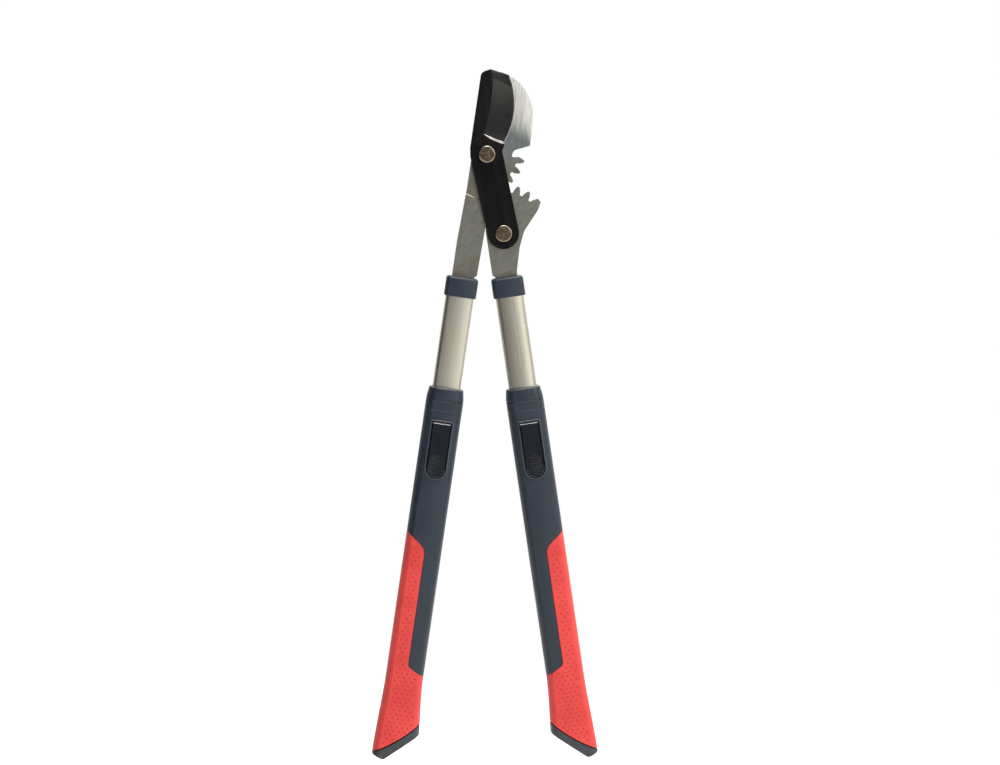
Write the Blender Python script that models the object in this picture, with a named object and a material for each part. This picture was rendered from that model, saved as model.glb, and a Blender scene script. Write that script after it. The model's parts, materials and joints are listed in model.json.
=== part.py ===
"""A geared bypass lopper with two telescopic handles, closed and collapsed, standing head up.

Metres. X runs to the right, Z up, and the front of the tool faces -Y. The origin is the crotch
between the two tangs, on the mid-plane of the tang plates, where the closed tool hangs on a peg.
Flat plates are drawn as (x, z) outlines. A handle is drawn along its own axis: t is measured
outwards from the axis, and s down the axis from the level of the crotch.
"""

import math

import bmesh
import bpy
from mathutils import Matrix, Vector

# Clearances
SEAT_GAP = 0.0003
RUNNING_GAP = 0.00015
SLIDE_GAP = 0.0003
CUT_ROOM = 0.001

# Places of the two pivots
MAIN_PIVOT_X = 0.0018
MAIN_PIVOT_Z = 0.0954
STRAP_LEAN = math.radians(11.9)

# Gear sectors
GEAR_MODULE = 0.0034
HOOK_WHEEL_TEETH = 20
ARM_WHEEL_TEETH = 26
HOOK_SECTOR_TEETH = 5
ARM_SECTOR_TEETH = 6
HOOK_FIRST_TOOTH = math.radians(-5.35)
PRESSURE_ANGLE = math.radians(25)
ADDENDUM = 0.9
DEDENDUM = 1.2
TOOTH_TIP_ROUND = 0.0006
TOOTH_ROOT_ROUND = 0.0010
BACKLASH = 0.0004

# Plates, from the back forwards
HOOK_PLATE_THICKNESS = 0.0045
FACE_RELIEF = 0.0005
BLADE_THICKNESS = 0.004
EDGE_THICKNESS = 0.0008

# Blade, measured from the main pivot
BLADE_LENGTH = 0.0817
BLADE_TIP_OFFSET = 0.0039
EDGE_TOP_DROP = 0.0060
EDGE_TOP_OFFSET = 0.0226
EDGE_HEEL_HEIGHT = 0.0118
EDGE_HEEL_OFFSET = 0.0175
EDGE_BULGE = 0.0076
SPINE_TOP_OFFSET = 0.0052
SPINE_TOP_DROP = 0.0030
SPINE_TOP_ROUND = 0.0060
SPINE_FOOT_OFFSET = 0.0160
SPINE_FOOT_HEIGHT = 0.0059
SPINE_FOOT_ROUND = 0.0120
BLADE_NECK_ROUND = 0.0050
STRAP_WIDTH = 0.0302
PIVOT_SWELL_RADIUS = 0.0160
GRIND_FOOT_HEIGHT = 0.0199
GRIND_FOOT_OFFSET = 0.0032
GRIND_TOP_DROP = 0.0087
GRIND_TOP_OFFSET = 0.0057
GRIND_BULGE = 0.0022
PLUNGE_BULGE = 0.0025

# Hook, measured from the main pivot
HOOK_TIP_OFFSET = 0.0131
HOOK_TIP_DROP = 0.0025
HOOK_REACH = 0.0447
HOOK_REACH_HEIGHT = 0.0400
HOOK_CROWN_BULGE = 0.0080
HOOK_BACK_BULGE = 0.0006
HEEL_OFFSET = 0.0419
HEEL_HEIGHT = 0.0078
HEEL_ROUND = 0.0015
HUB_START = math.radians(62)
HUB_SWEEP = math.radians(138)
THROAT_ROUND = 0.0020
POCKET_HALF_HEIGHT = 0.0034
BLADE_OVERLAP = 0.0025
POCKET_DEPTH = 0.0065
POCKET_ROUND = 0.0022
POCKET_NECK_ROUND = 0.0040
HIP_OFFSET = 0.0189
HIP_DROP = 0.0333
HIP_ROUND = 0.0300
STEP_AT = 0.0415
STEP_ANGLE = math.radians(24.7)

# Gear plate
ARM_HUB_RADIUS = 0.0166
STOP_GAP = 0.0005
STOP_HEIGHT = 0.0063
STOP_ROUND = 0.0040
ARM_WAIST_OFFSET = 0.0203
ARM_WAIST_HEIGHT = 0.0019
ARM_NECK_OFFSET = 0.0160
ARM_NECK_DROP = 0.0138
ARM_SIDE_ROUND = 0.0200
SECTOR_CORNER_ROUND = 0.0010
SECTOR_END_MARGIN = math.radians(4.2)
SECTOR_SHOULDER = math.radians(10.5)

# Tangs
TANG_SIDE_ROOM = 0.0016
TANG_SHOULDER = 0.0030
TANG_SHOULDER_GAP = 0.0030
TANG_SHOULDER_ROUND = 0.0012
TANG_ROOT_ROUND = 0.0006
TANG_END_ROUND = 0.0030
TANG_STRAIGHT = 0.0103
TANG_IN_TUBE = 0.0520

# Pivot bolts
BOLT_HEAD_RADIUS = 0.0083
BOLT_HEAD_HEIGHT = 0.0026
BOLT_HEAD_CHAMFER = 0.0007
BOLT_RADIUS = 0.0050
BOLT_END = 0.0012
WASHER_RADIUS = 0.0095
WASHER_THICKNESS = 0.0012
NUT_WIDTH = 0.0160
NUT_FACE_RADIUS = 0.0085
NUT_HEIGHT = 0.0052
NUT_COLLAR_HEIGHT = 0.0024
NUT_COLLAR_RADIUS = 0.0070

# Handle axes
AXIS_OFFSET = 0.0179
HANDLE_TILT = math.radians(8.35)

# Collars, from the crotch level down the axis
COLLAR_TOP = 0.0235
COLLAR_LENGTH = 0.0195
COLLAR_WALL = 0.0015
COLLAR_ROOF = 0.0020
COLLAR_TOP_ROUND = 0.0022
COLLAR_EDGE_ROUND = 0.0006

# Tubes
TUBE_WIDTH = 0.0270
TUBE_DEPTH = 0.0170
TUBE_WALL = 0.0015
TUBE_FACET_WIDTH = 0.00375
TUBE_FACET_DEPTH = 0.0055
TUBE_BOW_RATIO = 0.20
TUBE_SHOWN = 0.0891
TUBE_END_ROOM = 0.0050
LOCK_HOLES = 6
LOCK_HOLE_RADIUS = 0.0040
FIRST_LOCK_HOLE = 0.0400
LAST_LOCK_HOLE_RISE = 0.0220
TANG_RIVET_RADIUS = 0.0025
TANG_RIVET_DROP = 0.0120
INSERT_LENGTH = 0.0480
GLIDE_FLANGE = 0.0040
GLIDE_PLUG = 0.0140
GLIDE_LIP = 0.00015

# Handle housings, from the mouth down. A rise is measured up from the handle's low end
HANDLE_LENGTH = 0.3667
MOUTH_WIDTH = 0.0332
MOUTH_RING_LENGTH = 0.0122
MOUTH_ROUND = 0.0010
HOUSING_WIDTH = 0.0360
HOUSING_FRONT = 0.0155
HOUSING_BACK = 0.0135
FACET_WIDTH = 0.0065
FACET_DEPTH = 0.0100
HOUSING_BOW_RATIO = 0.13
SEAM_AT = 0.0218
SEAM_WIDTH = 0.0007
SEAM_DEPTH = 0.0004
FLARE_RISE = 0.0867
FLARE_OUT = 0.0027
FLARE_IN = 0.0050
FLARE_DEPTH = 0.0012
BORE_END_RISE = 0.0397

# Grips
GRIP_THICKNESS = 0.0022
GRIP_START = 0.1430
GRIP_KNEE_OFFSET = 0.0062
GRIP_KNEE_DROP = 0.0086
GRIP_LINE = -0.0010
GRIP_LINE_DROP = 0.0152
GRIP_TOP_ROUND = 0.0100
GRIP_TURN_RISE = 0.0935
GRIP_TURN_ROUND = 0.0050
GRIP_HEEL_OFFSET = 0.0112
GRIP_HEEL_RISE = 0.0875
GRIP_FOOT_RISE = 0.0846

# End caps
CAP_INNER_RISE = 0.0413
CAP_OUTER_RISE = 0.0055
CAP_SEAT_BOW = 0.0045
CAP_POINT_INSET = 0.0115
CAP_POINT_DROP = 0.0009
CAP_POINT_ROUND = 0.0040
CAP_HEEL_ANGLE = math.radians(41.4)
CAP_TOE_ANGLE = math.radians(25.5)

# Rocker buttons
BUTTON_TOP = 0.0335
BUTTON_LENGTH = 0.0534
BUTTON_WIDTH = 0.0176
BUTTON_PROUD = 0.0004
BUTTON_TOP_ROUND = 0.0010
BUTTON_PLATE = 0.0026
BUTTON_BOSS = 0.0020
BUTTON_NOSE = 0.0010
BOSS_BELOW_PIN = 0.0059
BOSS_ABOVE_TOOTH = 0.0044
BUTTON_GAP = 0.0009
RIM_WIDTH = 0.0013
RIM_HEIGHT = 0.0005
POCKET_FLOOR = 0.0014
PIN_AT = 0.0560
PIN_SINK = 0.0028
PIN_RADIUS = 0.0010
PIN_OVERHANG = 0.0029
TOOTH_RADIUS = 0.0034
TOOTH_WINDOW_GAP = 0.0007
RIB_COUNT = 10
RIB_PITCH = 0.0020
RIB_DEPTH = 0.0005
RIB_PAD_WIDTH = 0.0145
RIB_PAD_MARGIN = 0.0018
SPRING_AT = 0.0720
SPRING_RADIUS = 0.0022
SPRING_WIRE = 0.0006
SPRING_TURNS = 4
SPRING_SOCKET_ROOF = 0.0012

# Smoothness of the faceted surfaces
FILLET_STEPS = 4
CORNER_STEPS = 4
EDGE_STEPS = 3
FLARE_STEPS = 4
ROUND_SIDES = 32
NUT_SIDES = 24
PIN_SIDES = 16

# Places worked out from the sizes above
MAIN_PIVOT = Vector((MAIN_PIVOT_X, MAIN_PIVOT_Z))
HOOK_PITCH_RADIUS = GEAR_MODULE * HOOK_WHEEL_TEETH / 2
ARM_PITCH_RADIUS = GEAR_MODULE * ARM_WHEEL_TEETH / 2
CENTRES_ANGLE = STRAP_LEAN - math.pi / 2
STRAP_AXIS = Vector((math.cos(CENTRES_ANGLE), math.sin(CENTRES_ANGLE)))
STRAP_RIGHT = Vector((-STRAP_AXIS.y, STRAP_AXIS.x))
LOWER_PIVOT = MAIN_PIVOT + STRAP_AXIS * (HOOK_PITCH_RADIUS + ARM_PITCH_RADIUS)
HOOK_TOOTH_STEP = 2 * math.pi / HOOK_WHEEL_TEETH
ARM_TOOTH_STEP = 2 * math.pi / ARM_WHEEL_TEETH
ARM_FIRST_TOOTH = (HOOK_FIRST_TOOTH - HOOK_TOOTH_STEP / 2) * HOOK_WHEEL_TEETH / ARM_WHEEL_TEETH

TANG_WIDTH = TUBE_WIDTH - 2 * (TUBE_WALL + TANG_SIDE_ROOM)
PLATE_BACK = HOOK_PLATE_THICKNESS / 2
TANG_FRONT = -HOOK_PLATE_THICKNESS / 2
PLATE_FRONT = TANG_FRONT + FACE_RELIEF
BLADE_BACK = PLATE_FRONT - SEAT_GAP
BLADE_FRONT = BLADE_BACK - BLADE_THICKNESS

MOUTH = COLLAR_TOP + COLLAR_LENGTH + TUBE_SHOWN
FLARE_START = HANDLE_LENGTH - FLARE_RISE
BORE_END = HANDLE_LENGTH - BORE_END_RISE
TUBE_HIDDEN = BORE_END - TUBE_END_ROOM
TUBE_TOP = COLLAR_TOP + COLLAR_ROOF + SEAT_GAP
TUBE_END = MOUTH + TUBE_HIDDEN
LOCK_SPAN = TUBE_HIDDEN - FIRST_LOCK_HOLE - LAST_LOCK_HOLE_RISE
LOCK_PITCH = LOCK_SPAN / (LOCK_HOLES - 1)
TANG_END = TUBE_TOP + TANG_IN_TUBE
RIVET_AT = COLLAR_TOP + TANG_RIVET_DROP
BORE_DEPTH = TUBE_DEPTH / 2 + SLIDE_GAP
BUTTON_FACE = -HOUSING_FRONT - BUTTON_PROUD
POCKET_BED = -BORE_DEPTH - POCKET_FLOOR
PIN_DEPTH = BUTTON_FACE + PIN_SINK
PIN_LENGTH = BUTTON_WIDTH + 2 * PIN_OVERHANG


def arc(start, end, bulge, steps):
    """Points from start to end, with the middle standing out to the right of the way by bulge."""
    start = Vector(start)
    end = Vector(end)
    along = end - start
    right = Vector((along.y, -along.x)).normalized()
    radius = (along.length ** 2 / 4 + bulge ** 2) / (2 * bulge)
    centre = (start + end) / 2 + right * (bulge - radius)
    half = math.asin(along.length / 2 / abs(radius))
    points = []
    for step in range(steps + 1):
        turn = half * (2 * step / steps - 1)
        points.append(
            centre
            + right * radius * math.cos(turn)
            + along.normalized() * abs(radius) * math.sin(turn)
        )
    return points


def polar(centre, radius, angle):
    return centre + Vector((math.cos(angle), math.sin(angle))) * radius


def sharp(points):
    """The points as corners that stay sharp."""
    return [(point, 0) for point in points]


def rounded(corners):
    """An outline through (point, radius) corners, each with a radius turned into an arc."""
    outline = []
    for index, (corner, radius) in enumerate(corners):
        corner = Vector(corner)
        if not radius:
            outline.append(corner)
            continue
        before = Vector(corners[index - 1][0]) - corner
        after = Vector(corners[(index + 1) % len(corners)][0]) - corner
        half = before.angle(after) / 2
        room = min(before.length, after.length) * 0.48
        reach = min(radius / math.tan(half), room)
        middle = (before.normalized() + after.normalized()).normalized()
        centre = corner + middle * reach / math.cos(half)
        first = corner + before.normalized() * reach - centre
        last = corner + after.normalized() * reach - centre
        sweep = first.angle_signed(last)
        for step in range(FILLET_STEPS + 1):
            turned = first.copy()
            turned.rotate(Matrix.Rotation(-sweep * step / FILLET_STEPS, 2))
            outline.append(centre + turned)
    return outline


def faces_from(mesh, rings, closed_ends, looped):
    """Joins rings of vertices in turn, and closes the ends or joins the last to the first."""
    made = [[mesh.verts.new(point) for point in ring] for ring in rings]
    pairs = list(zip(made, made[1:]))
    if looped:
        pairs.append((made[-1], made[0]))
    for lower, upper in pairs:
        count = len(lower)
        for index in range(count):
            after = (index + 1) % count
            mesh.faces.new((lower[index], lower[after], upper[after], upper[index]))
    if closed_ends:
        mesh.faces.new(made[0])
        mesh.faces.new(reversed(made[-1]))


def solid(mesh):
    """An object at the world's origin that holds this mesh with its faces turned out."""
    bmesh.ops.recalc_face_normals(mesh, faces=mesh.faces)
    data = bpy.data.meshes.new("shape")
    mesh.to_mesh(data)
    mesh.free()
    shape = bpy.data.objects.new("shape", data)
    bpy.context.scene.collection.objects.link(shape)
    return shape


def loft(rings, looped=False):
    mesh = bmesh.new()
    faces_from(mesh, rings, closed_ends=not looped, looped=looped)
    return solid(mesh)


def prism(outline, front, back):
    """A plate with this (x, z) outline between two depths."""
    rings = [[Vector((x, depth, z)) for x, z in outline] for depth in (front, back)]
    return loft(rings)


def turned(profile, centre, sides, looped=False):
    """A shape turned about the line along Y through centre, from (radius, y) points."""
    rings = []
    for radius, depth in profile:
        ring = []
        for side in range(sides):
            x, z = polar(centre, radius, 2 * math.pi * side / sides)
            ring.append(Vector((x, depth, z)))
        rings.append(ring)
    return loft(rings, looped)


def rod(centre, radius, front, back, sides=ROUND_SIDES):
    return turned([(radius, front), (radius, back)], centre, sides)


def combine(shape, tool, operation="DIFFERENCE"):
    """Applies a Boolean of tool to shape and removes tool."""
    modifier = shape.modifiers.new("combine", "BOOLEAN")
    modifier.operation = operation
    modifier.object = tool
    graph = bpy.context.evaluated_depsgraph_get()
    result = bpy.data.meshes.new_from_object(shape.evaluated_get(graph))
    shape.modifiers.clear()
    shape.data = result
    bpy.data.objects.remove(tool)
    return shape


def finish(name, colour, roughness, metallic):
    """A plain material."""
    made = bpy.data.materials.new(name)
    made.use_nodes = True
    shader = made.node_tree.nodes["Principled BSDF"]
    shader.inputs["Base Color"].default_value = (*colour, 1)
    shader.inputs["Roughness"].default_value = roughness
    shader.inputs["Metallic"].default_value = metallic
    return made


FINISHES = {
    "coated_steel": ((0.012, 0.012, 0.013), 0.35, 0.6),
    "ground_steel": ((0.20, 0.20, 0.17), 0.38, 1.0),
    "bronzed_steel": ((0.12, 0.09, 0.065), 0.40, 1.0),
    "zinc_steel": ((0.45, 0.45, 0.43), 0.35, 1.0),
    "satin_aluminium": ((0.50, 0.47, 0.40), 0.32, 1.0),
    "housing_plastic": ((0.034, 0.048, 0.070), 0.45, 0.0),
    "button_plastic": ((0.018, 0.022, 0.032), 0.40, 0.0),
    "grip_rubber": ((0.75, 0.065, 0.055), 0.60, 0.0),
    "cap_plastic": ((0.048, 0.054, 0.062), 0.50, 0.0),
    "filler_plastic": ((0.05, 0.05, 0.05), 0.50, 0.0),
}


def place(shape, name, finish_name, parent, origin=(0, 0, 0)):
    """Names the shape, moves its origin to a point of its own frame, and hangs it on parent."""
    shape.name = name
    shape.data.name = name
    shape.data.transform(Matrix.Translation(-Vector(origin)))
    shape.data.materials.clear()
    shape.data.materials.append(finish(name + "_finish", *FINISHES[finish_name]))
    shape.data.shade_smooth()
    shape.data.set_sharp_from_angle(angle=math.radians(28))
    shape.parent = parent
    shape.location = origin
    return shape


def frame(name, location, parent=None, lean=0.0):
    empty = bpy.data.objects.new(name, None)
    empty.parent = parent
    empty.location = location
    empty.rotation_euler = (0, lean, 0)
    bpy.context.scene.collection.objects.link(empty)
    return empty


def in_depth(point):
    """An (x, z) point as a place in the plates' mid-plane."""
    return Vector((point.x, 0, point.y))


# Gear sectors

def involute(angle):
    return math.tan(angle) - angle


def tooth_half_angle(radius, pitch_radius):
    """Half the angle that a tooth spans at this radius."""
    at_pitch = (math.pi * GEAR_MODULE / 2 - BACKLASH) / 2 / pitch_radius
    base_radius = pitch_radius * math.cos(PRESSURE_ANGLE)
    pressure = math.acos(min(1, base_radius / radius))
    return at_pitch + involute(PRESSURE_ANGLE) - involute(pressure)


def flank(centre, pitch_radius, angle, side):
    """One side of a tooth as corners from root to tip. The side is +1 where the angle grows."""
    root = pitch_radius - DEDENDUM * GEAR_MODULE
    tip = pitch_radius + ADDENDUM * GEAR_MODULE
    radii = [root + (tip - root) * step / 5 for step in range(6)]
    rounds = [TOOTH_ROOT_ROUND, 0, 0, 0, 0, TOOTH_TIP_ROUND]
    corners = []
    for radius, turn in zip(radii, rounds):
        half = tooth_half_angle(radius, pitch_radius)
        corners.append((polar(centre, radius, angle + side * half), turn))
    return corners


def tooth(centre, pitch_radius, angle):
    """A whole tooth, in the direction in which the angle grows."""
    rising = flank(centre, pitch_radius, angle, -1)
    falling = flank(centre, pitch_radius, angle, +1)
    return rising + falling[::-1]


# Handle frames

def on_handle(side, t, s):
    """The (x, z) place of a point given along a handle's axis, in the tool's frame."""
    down = Vector((side * math.sin(HANDLE_TILT), -math.cos(HANDLE_TILT)))
    out = Vector((side * math.cos(HANDLE_TILT), math.sin(HANDLE_TILT)))
    return Vector((side * AXIS_OFFSET, 0)) + out * t + down * s


def tang_end(side):
    """The corners of a tang from its inner shoulder round its end to its outer edge."""
    half = TANG_WIDTH / 2
    shoulder = COLLAR_TOP - TANG_SHOULDER_GAP
    return [
        (on_handle(side, -half - TANG_SHOULDER, shoulder), TANG_SHOULDER_ROUND),
        (on_handle(side, -half, COLLAR_TOP - SEAT_GAP), TANG_ROOT_ROUND),
        (on_handle(side, -half, TANG_END), TANG_END_ROUND),
        (on_handle(side, half, TANG_END), TANG_END_ROUND),
    ]


# Head

def blade_edge(inset, steps):
    """The cutting edge from its heel to its top, moved in towards the spine by inset."""
    heel = MAIN_PIVOT + Vector((EDGE_HEEL_OFFSET - inset, EDGE_HEEL_HEIGHT))
    top = MAIN_PIVOT + Vector((EDGE_TOP_OFFSET - inset, BLADE_LENGTH - EDGE_TOP_DROP))
    return arc(heel, top, EDGE_BULGE, steps)


def blade_plate():
    """The blade with its strap, ground on the front from the grind line out to the edge."""
    plunge_steps, grind_steps, tip_steps = 5, 10, 3
    strap_half = STRAP_WIDTH / 2
    tip = MAIN_PIVOT + Vector((BLADE_TIP_OFFSET, BLADE_LENGTH))
    edge = blade_edge(0, plunge_steps + grind_steps)
    crown = [edge[-1].lerp(tip, (step + 1) / tip_steps) for step in range(tip_steps)]
    ground_rim = edge + crown

    grind_foot = MAIN_PIVOT + Vector((-GRIND_FOOT_OFFSET, GRIND_FOOT_HEIGHT))
    grind_top = MAIN_PIVOT + Vector((GRIND_TOP_OFFSET, BLADE_LENGTH - GRIND_TOP_DROP))
    plunge = arc(edge[0], grind_foot, -PLUNGE_BULGE, plunge_steps)
    grind = arc(grind_foot, grind_top, GRIND_BULGE, grind_steps)
    rise = [grind_top.lerp(tip, (step + 1) / tip_steps) for step in range(tip_steps)]
    grind_line = plunge + grind[1:] + rise

    spine_top = MAIN_PIVOT + Vector((-SPINE_TOP_OFFSET, BLADE_LENGTH - SPINE_TOP_DROP))
    spine_foot = MAIN_PIVOT + Vector((-SPINE_FOOT_OFFSET, SPINE_FOOT_HEIGHT))
    swell = polar(MAIN_PIVOT, PIVOT_SWELL_RADIUS, math.pi + STRAP_LEAN)
    half_round = ROUND_SIDES // 2
    round_end = [
        polar(LOWER_PIVOT, strap_half, math.pi + STRAP_LEAN + math.pi * step / half_round)
        for step in range(half_round + 1)
    ]
    neck = MAIN_PIVOT + STRAP_RIGHT * strap_half
    spine = [(spine_top, SPINE_TOP_ROUND), (spine_foot, SPINE_FOOT_ROUND), (swell, SPINE_FOOT_ROUND)]
    back_to_edge = [(neck, BLADE_NECK_ROUND), (edge[0], 0)]
    rest = rounded([(tip, 0)] + spine + sharp(round_end) + back_to_edge)[1:-1]

    mesh = bmesh.new()
    outline = ground_rim + rest
    ends = (0, len(ground_rim) - 1)
    fronts, backs = [], []
    for index, (x, z) in enumerate(outline):
        thin = ends[0] < index <= ends[1]
        depth = BLADE_BACK - EDGE_THICKNESS if thin else BLADE_FRONT
        fronts.append(mesh.verts.new((x, depth, z)))
        backs.append(mesh.verts.new((x, BLADE_BACK, z)))
    inner = [fronts[0]]
    inner += [mesh.verts.new((x, BLADE_FRONT, z)) for x, z in grind_line[1:-1]]
    inner.append(fronts[ends[1]])
    count = len(outline)
    for index in range(count):
        after = (index + 1) % count
        mesh.faces.new((fronts[index], fronts[after], backs[after], backs[index]))
    for index in range(len(inner) - 1):
        corners = [inner[index], fronts[index], fronts[index + 1], inner[index + 1]]
        mesh.faces.new(dict.fromkeys(corners))
    mesh.faces.new(backs)
    mesh.faces.new(inner[::-1] + fronts[ends[1] + 1 :][::-1])
    shape = solid(mesh)
    for pivot in (MAIN_PIVOT, LOWER_PIVOT):
        combine(shape, rod(pivot, BOLT_RADIUS + RUNNING_GAP, 2 * BLADE_FRONT, 0))
    return shape


def hook_outline():
    """Hook, gear sector and left tang, all one plate, anticlockwise from the tang's shoulder."""
    root_radius = HOOK_PITCH_RADIUS - DEDENDUM * GEAR_MODULE
    first = CENTRES_ANGLE + HOOK_FIRST_TOOTH
    before_first = flank(MAIN_PIVOT, HOOK_PITCH_RADIUS, first - HOOK_TOOTH_STEP, +1)[::-1]
    sector = list(before_first)
    for index in range(HOOK_SECTOR_TEETH):
        sector += tooth(MAIN_PIVOT, HOOK_PITCH_RADIUS, first + index * HOOK_TOOTH_STEP)

    stop_x = LOWER_PIVOT.x - ARM_HUB_RADIUS - STOP_GAP
    stop = Vector((stop_x, LOWER_PIVOT.y + STOP_HEIGHT))

    neck = MAIN_PIVOT + Vector((root_radius - POCKET_HALF_HEIGHT, POCKET_HALF_HEIGHT))
    pocket = MAIN_PIVOT + Vector((root_radius - POCKET_DEPTH, -POCKET_HALF_HEIGHT))
    heel = MAIN_PIVOT + Vector((HEEL_OFFSET, HEEL_HEIGHT))
    reach = MAIN_PIVOT + Vector((HOOK_REACH, HOOK_REACH_HEIGHT))
    tip = MAIN_PIVOT + Vector((HOOK_TIP_OFFSET, BLADE_LENGTH - HOOK_TIP_DROP))
    outer = arc(heel, reach, HOOK_BACK_BULGE, 4)[1:-1] + arc(reach, tip, HOOK_CROWN_BULGE, 10)
    inner = blade_edge(BLADE_OVERLAP, 12)[::-1]
    hub = [
        polar(MAIN_PIVOT, PIVOT_SWELL_RADIUS - SEAT_GAP, HUB_START + HUB_SWEEP * step / 12)
        for step in range(13)
    ]
    hip = MAIN_PIVOT + Vector((-HIP_OFFSET, -HIP_DROP))
    straight = on_handle(-1, TANG_WIDTH / 2, -TANG_STRAIGHT)
    return rounded(
        [(stop, STOP_ROUND)]
        + sector
        + [(pocket, POCKET_ROUND), (neck, POCKET_NECK_ROUND), (heel, HEEL_ROUND)]
        + sharp(outer)
        + sharp(inner[1:-1])
        + [(inner[-1], THROAT_ROUND)]
        + sharp(hub)
        + [(hip, HIP_ROUND), (straight, HIP_ROUND)]
        + tang_end(-1)[::-1]
    )


def hook_plate():
    shape = prism(hook_outline(), TANG_FRONT, PLATE_BACK)
    edge_clearance = STRAP_WIDTH / 2 + 2 * SEAT_GAP
    step_right = MAIN_PIVOT + STRAP_AXIS * STEP_AT - STRAP_RIGHT * edge_clearance
    step_left = polar(step_right, 2 * TANG_WIDTH, math.pi - STEP_ANGLE)
    low = LOWER_PIVOT + STRAP_AXIS * 2 * STRAP_WIDTH - STRAP_RIGHT * edge_clearance
    beyond = MAIN_PIVOT.x + 2 * HOOK_REACH
    above = MAIN_PIVOT.y + 2 * BLADE_LENGTH
    relieved = [
        step_left,
        step_right,
        low,
        Vector((beyond, low.y)),
        Vector((beyond, above)),
        Vector((step_left.x, above)),
    ]
    combine(shape, prism(relieved, 2 * TANG_FRONT, PLATE_FRONT))
    hole = rod(MAIN_PIVOT, BOLT_RADIUS + RUNNING_GAP, 2 * TANG_FRONT, 2 * PLATE_BACK)
    return combine(shape, hole)


def gear_outline():
    """Gear sector and right tang, anticlockwise from the tang's outer edge."""
    tip_radius = ARM_PITCH_RADIUS + ADDENDUM * GEAR_MODULE
    root_radius = ARM_PITCH_RADIUS - DEDENDUM * GEAR_MODULE
    upwards = CENTRES_ANGLE + math.pi
    sector = []
    for index in reversed(range(ARM_SECTOR_TEETH)):
        angle = upwards - ARM_FIRST_TOOTH - index * ARM_TOOTH_STEP
        sector += tooth(LOWER_PIVOT, ARM_PITCH_RADIUS, angle)
    last = upwards - ARM_FIRST_TOOTH - (ARM_SECTOR_TEETH - 1) * ARM_TOOTH_STEP
    per_flank = len(sector) // ARM_SECTOR_TEETH // 2
    sector = sector[per_flank - 1 :]
    corner = polar(LOWER_PIVOT, tip_radius, last - SECTOR_END_MARGIN)
    shoulder = polar(LOWER_PIVOT, root_radius, last - SECTOR_SHOULDER)
    waist = LOWER_PIVOT + Vector((ARM_WAIST_OFFSET, ARM_WAIST_HEIGHT))
    neck = LOWER_PIVOT + Vector((ARM_NECK_OFFSET, -ARM_NECK_DROP))
    hub_left = LOWER_PIVOT + Vector((-ARM_HUB_RADIUS, 0))
    foot = on_handle(+1, TANG_WIDTH / 2, COLLAR_TOP - TANG_SHOULDER_GAP)
    right_side = [(point, ARM_SIDE_ROUND) for point in (foot, neck, waist, shoulder)]
    return rounded(
        right_side
        + [(corner, SECTOR_CORNER_ROUND)]
        + sector
        + [(hub_left, ARM_SIDE_ROUND)]
        + tang_end(+1)
    )


def gear_plate():
    shape = prism(gear_outline(), PLATE_FRONT, PLATE_BACK)
    hole = rod(LOWER_PIVOT, BOLT_RADIUS + RUNNING_GAP, 2 * TANG_FRONT, 2 * PLATE_BACK)
    return combine(shape, hole)


def nut_ring(centre, radius_at, depth):
    """A ring of points about centre at this depth, with a radius that depends on the angle."""
    points = []
    for index in range(NUT_SIDES):
        angle = 2 * math.pi * index / NUT_SIDES
        x, z = polar(centre, radius_at(angle), angle)
        points.append(Vector((x, depth, z)))
    return points


def pivot_set(prefix, centre, parent):
    """A round-headed pivot bolt, with its washer and its lock nut behind the plates."""
    head_back = BLADE_FRONT - SEAT_GAP
    head_front = head_back - BOLT_HEAD_HEIGHT
    washer_front = PLATE_BACK + SEAT_GAP
    washer_back = washer_front + WASHER_THICKNESS
    nut_front = washer_back + SEAT_GAP
    nut_back = nut_front + NUT_HEIGHT
    collar_back = nut_back + NUT_COLLAR_HEIGHT
    origin = in_depth(centre)
    bolt = turned(
        [
            (BOLT_HEAD_RADIUS - 2 * BOLT_HEAD_CHAMFER, head_front),
            (BOLT_HEAD_RADIUS - BOLT_HEAD_CHAMFER / 2, head_front + BOLT_HEAD_CHAMFER / 2),
            (BOLT_HEAD_RADIUS, head_front + 2 * BOLT_HEAD_CHAMFER),
            (BOLT_HEAD_RADIUS, head_back),
            (BOLT_RADIUS, head_back),
            (BOLT_RADIUS, collar_back + BOLT_END - BOLT_HEAD_CHAMFER),
            (BOLT_RADIUS - BOLT_HEAD_CHAMFER, collar_back + BOLT_END),
        ],
        centre,
        ROUND_SIDES,
    )
    place(bolt, prefix + "_pivot_bolt", "bronzed_steel", parent, origin)

    bore = BOLT_RADIUS + RUNNING_GAP
    washer_profile = [
        (bore, washer_front),
        (WASHER_RADIUS, washer_front),
        (WASHER_RADIUS, washer_back),
        (bore, washer_back),
    ]
    washer = turned(washer_profile, centre, ROUND_SIDES, looped=True)
    place(washer, prefix + "_pivot_washer", "zinc_steel", parent, origin)

    def hexagon(angle):
        beside_flat = (angle + math.pi / 6) % (math.pi / 3) - math.pi / 6
        return NUT_WIDTH / 2 / math.cos(beside_flat)

    def chamfered(angle):
        return min(hexagon(angle), NUT_FACE_RADIUS)

    rings = [
        nut_ring(centre, lambda angle: bore, nut_front),
        nut_ring(centre, chamfered, nut_front),
        nut_ring(centre, hexagon, nut_front + BOLT_HEAD_CHAMFER),
        nut_ring(centre, hexagon, nut_back),
        nut_ring(centre, lambda angle: NUT_COLLAR_RADIUS, nut_back),
        nut_ring(centre, lambda angle: NUT_COLLAR_RADIUS, collar_back - BOLT_HEAD_CHAMFER),
        nut_ring(centre, lambda angle: NUT_COLLAR_RADIUS - BOLT_HEAD_CHAMFER, collar_back),
        nut_ring(centre, lambda angle: bore, collar_back),
    ]
    place(loft(rings, looped=True), prefix + "_lock_nut", "zinc_steel", parent, origin)


# Handles

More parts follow.
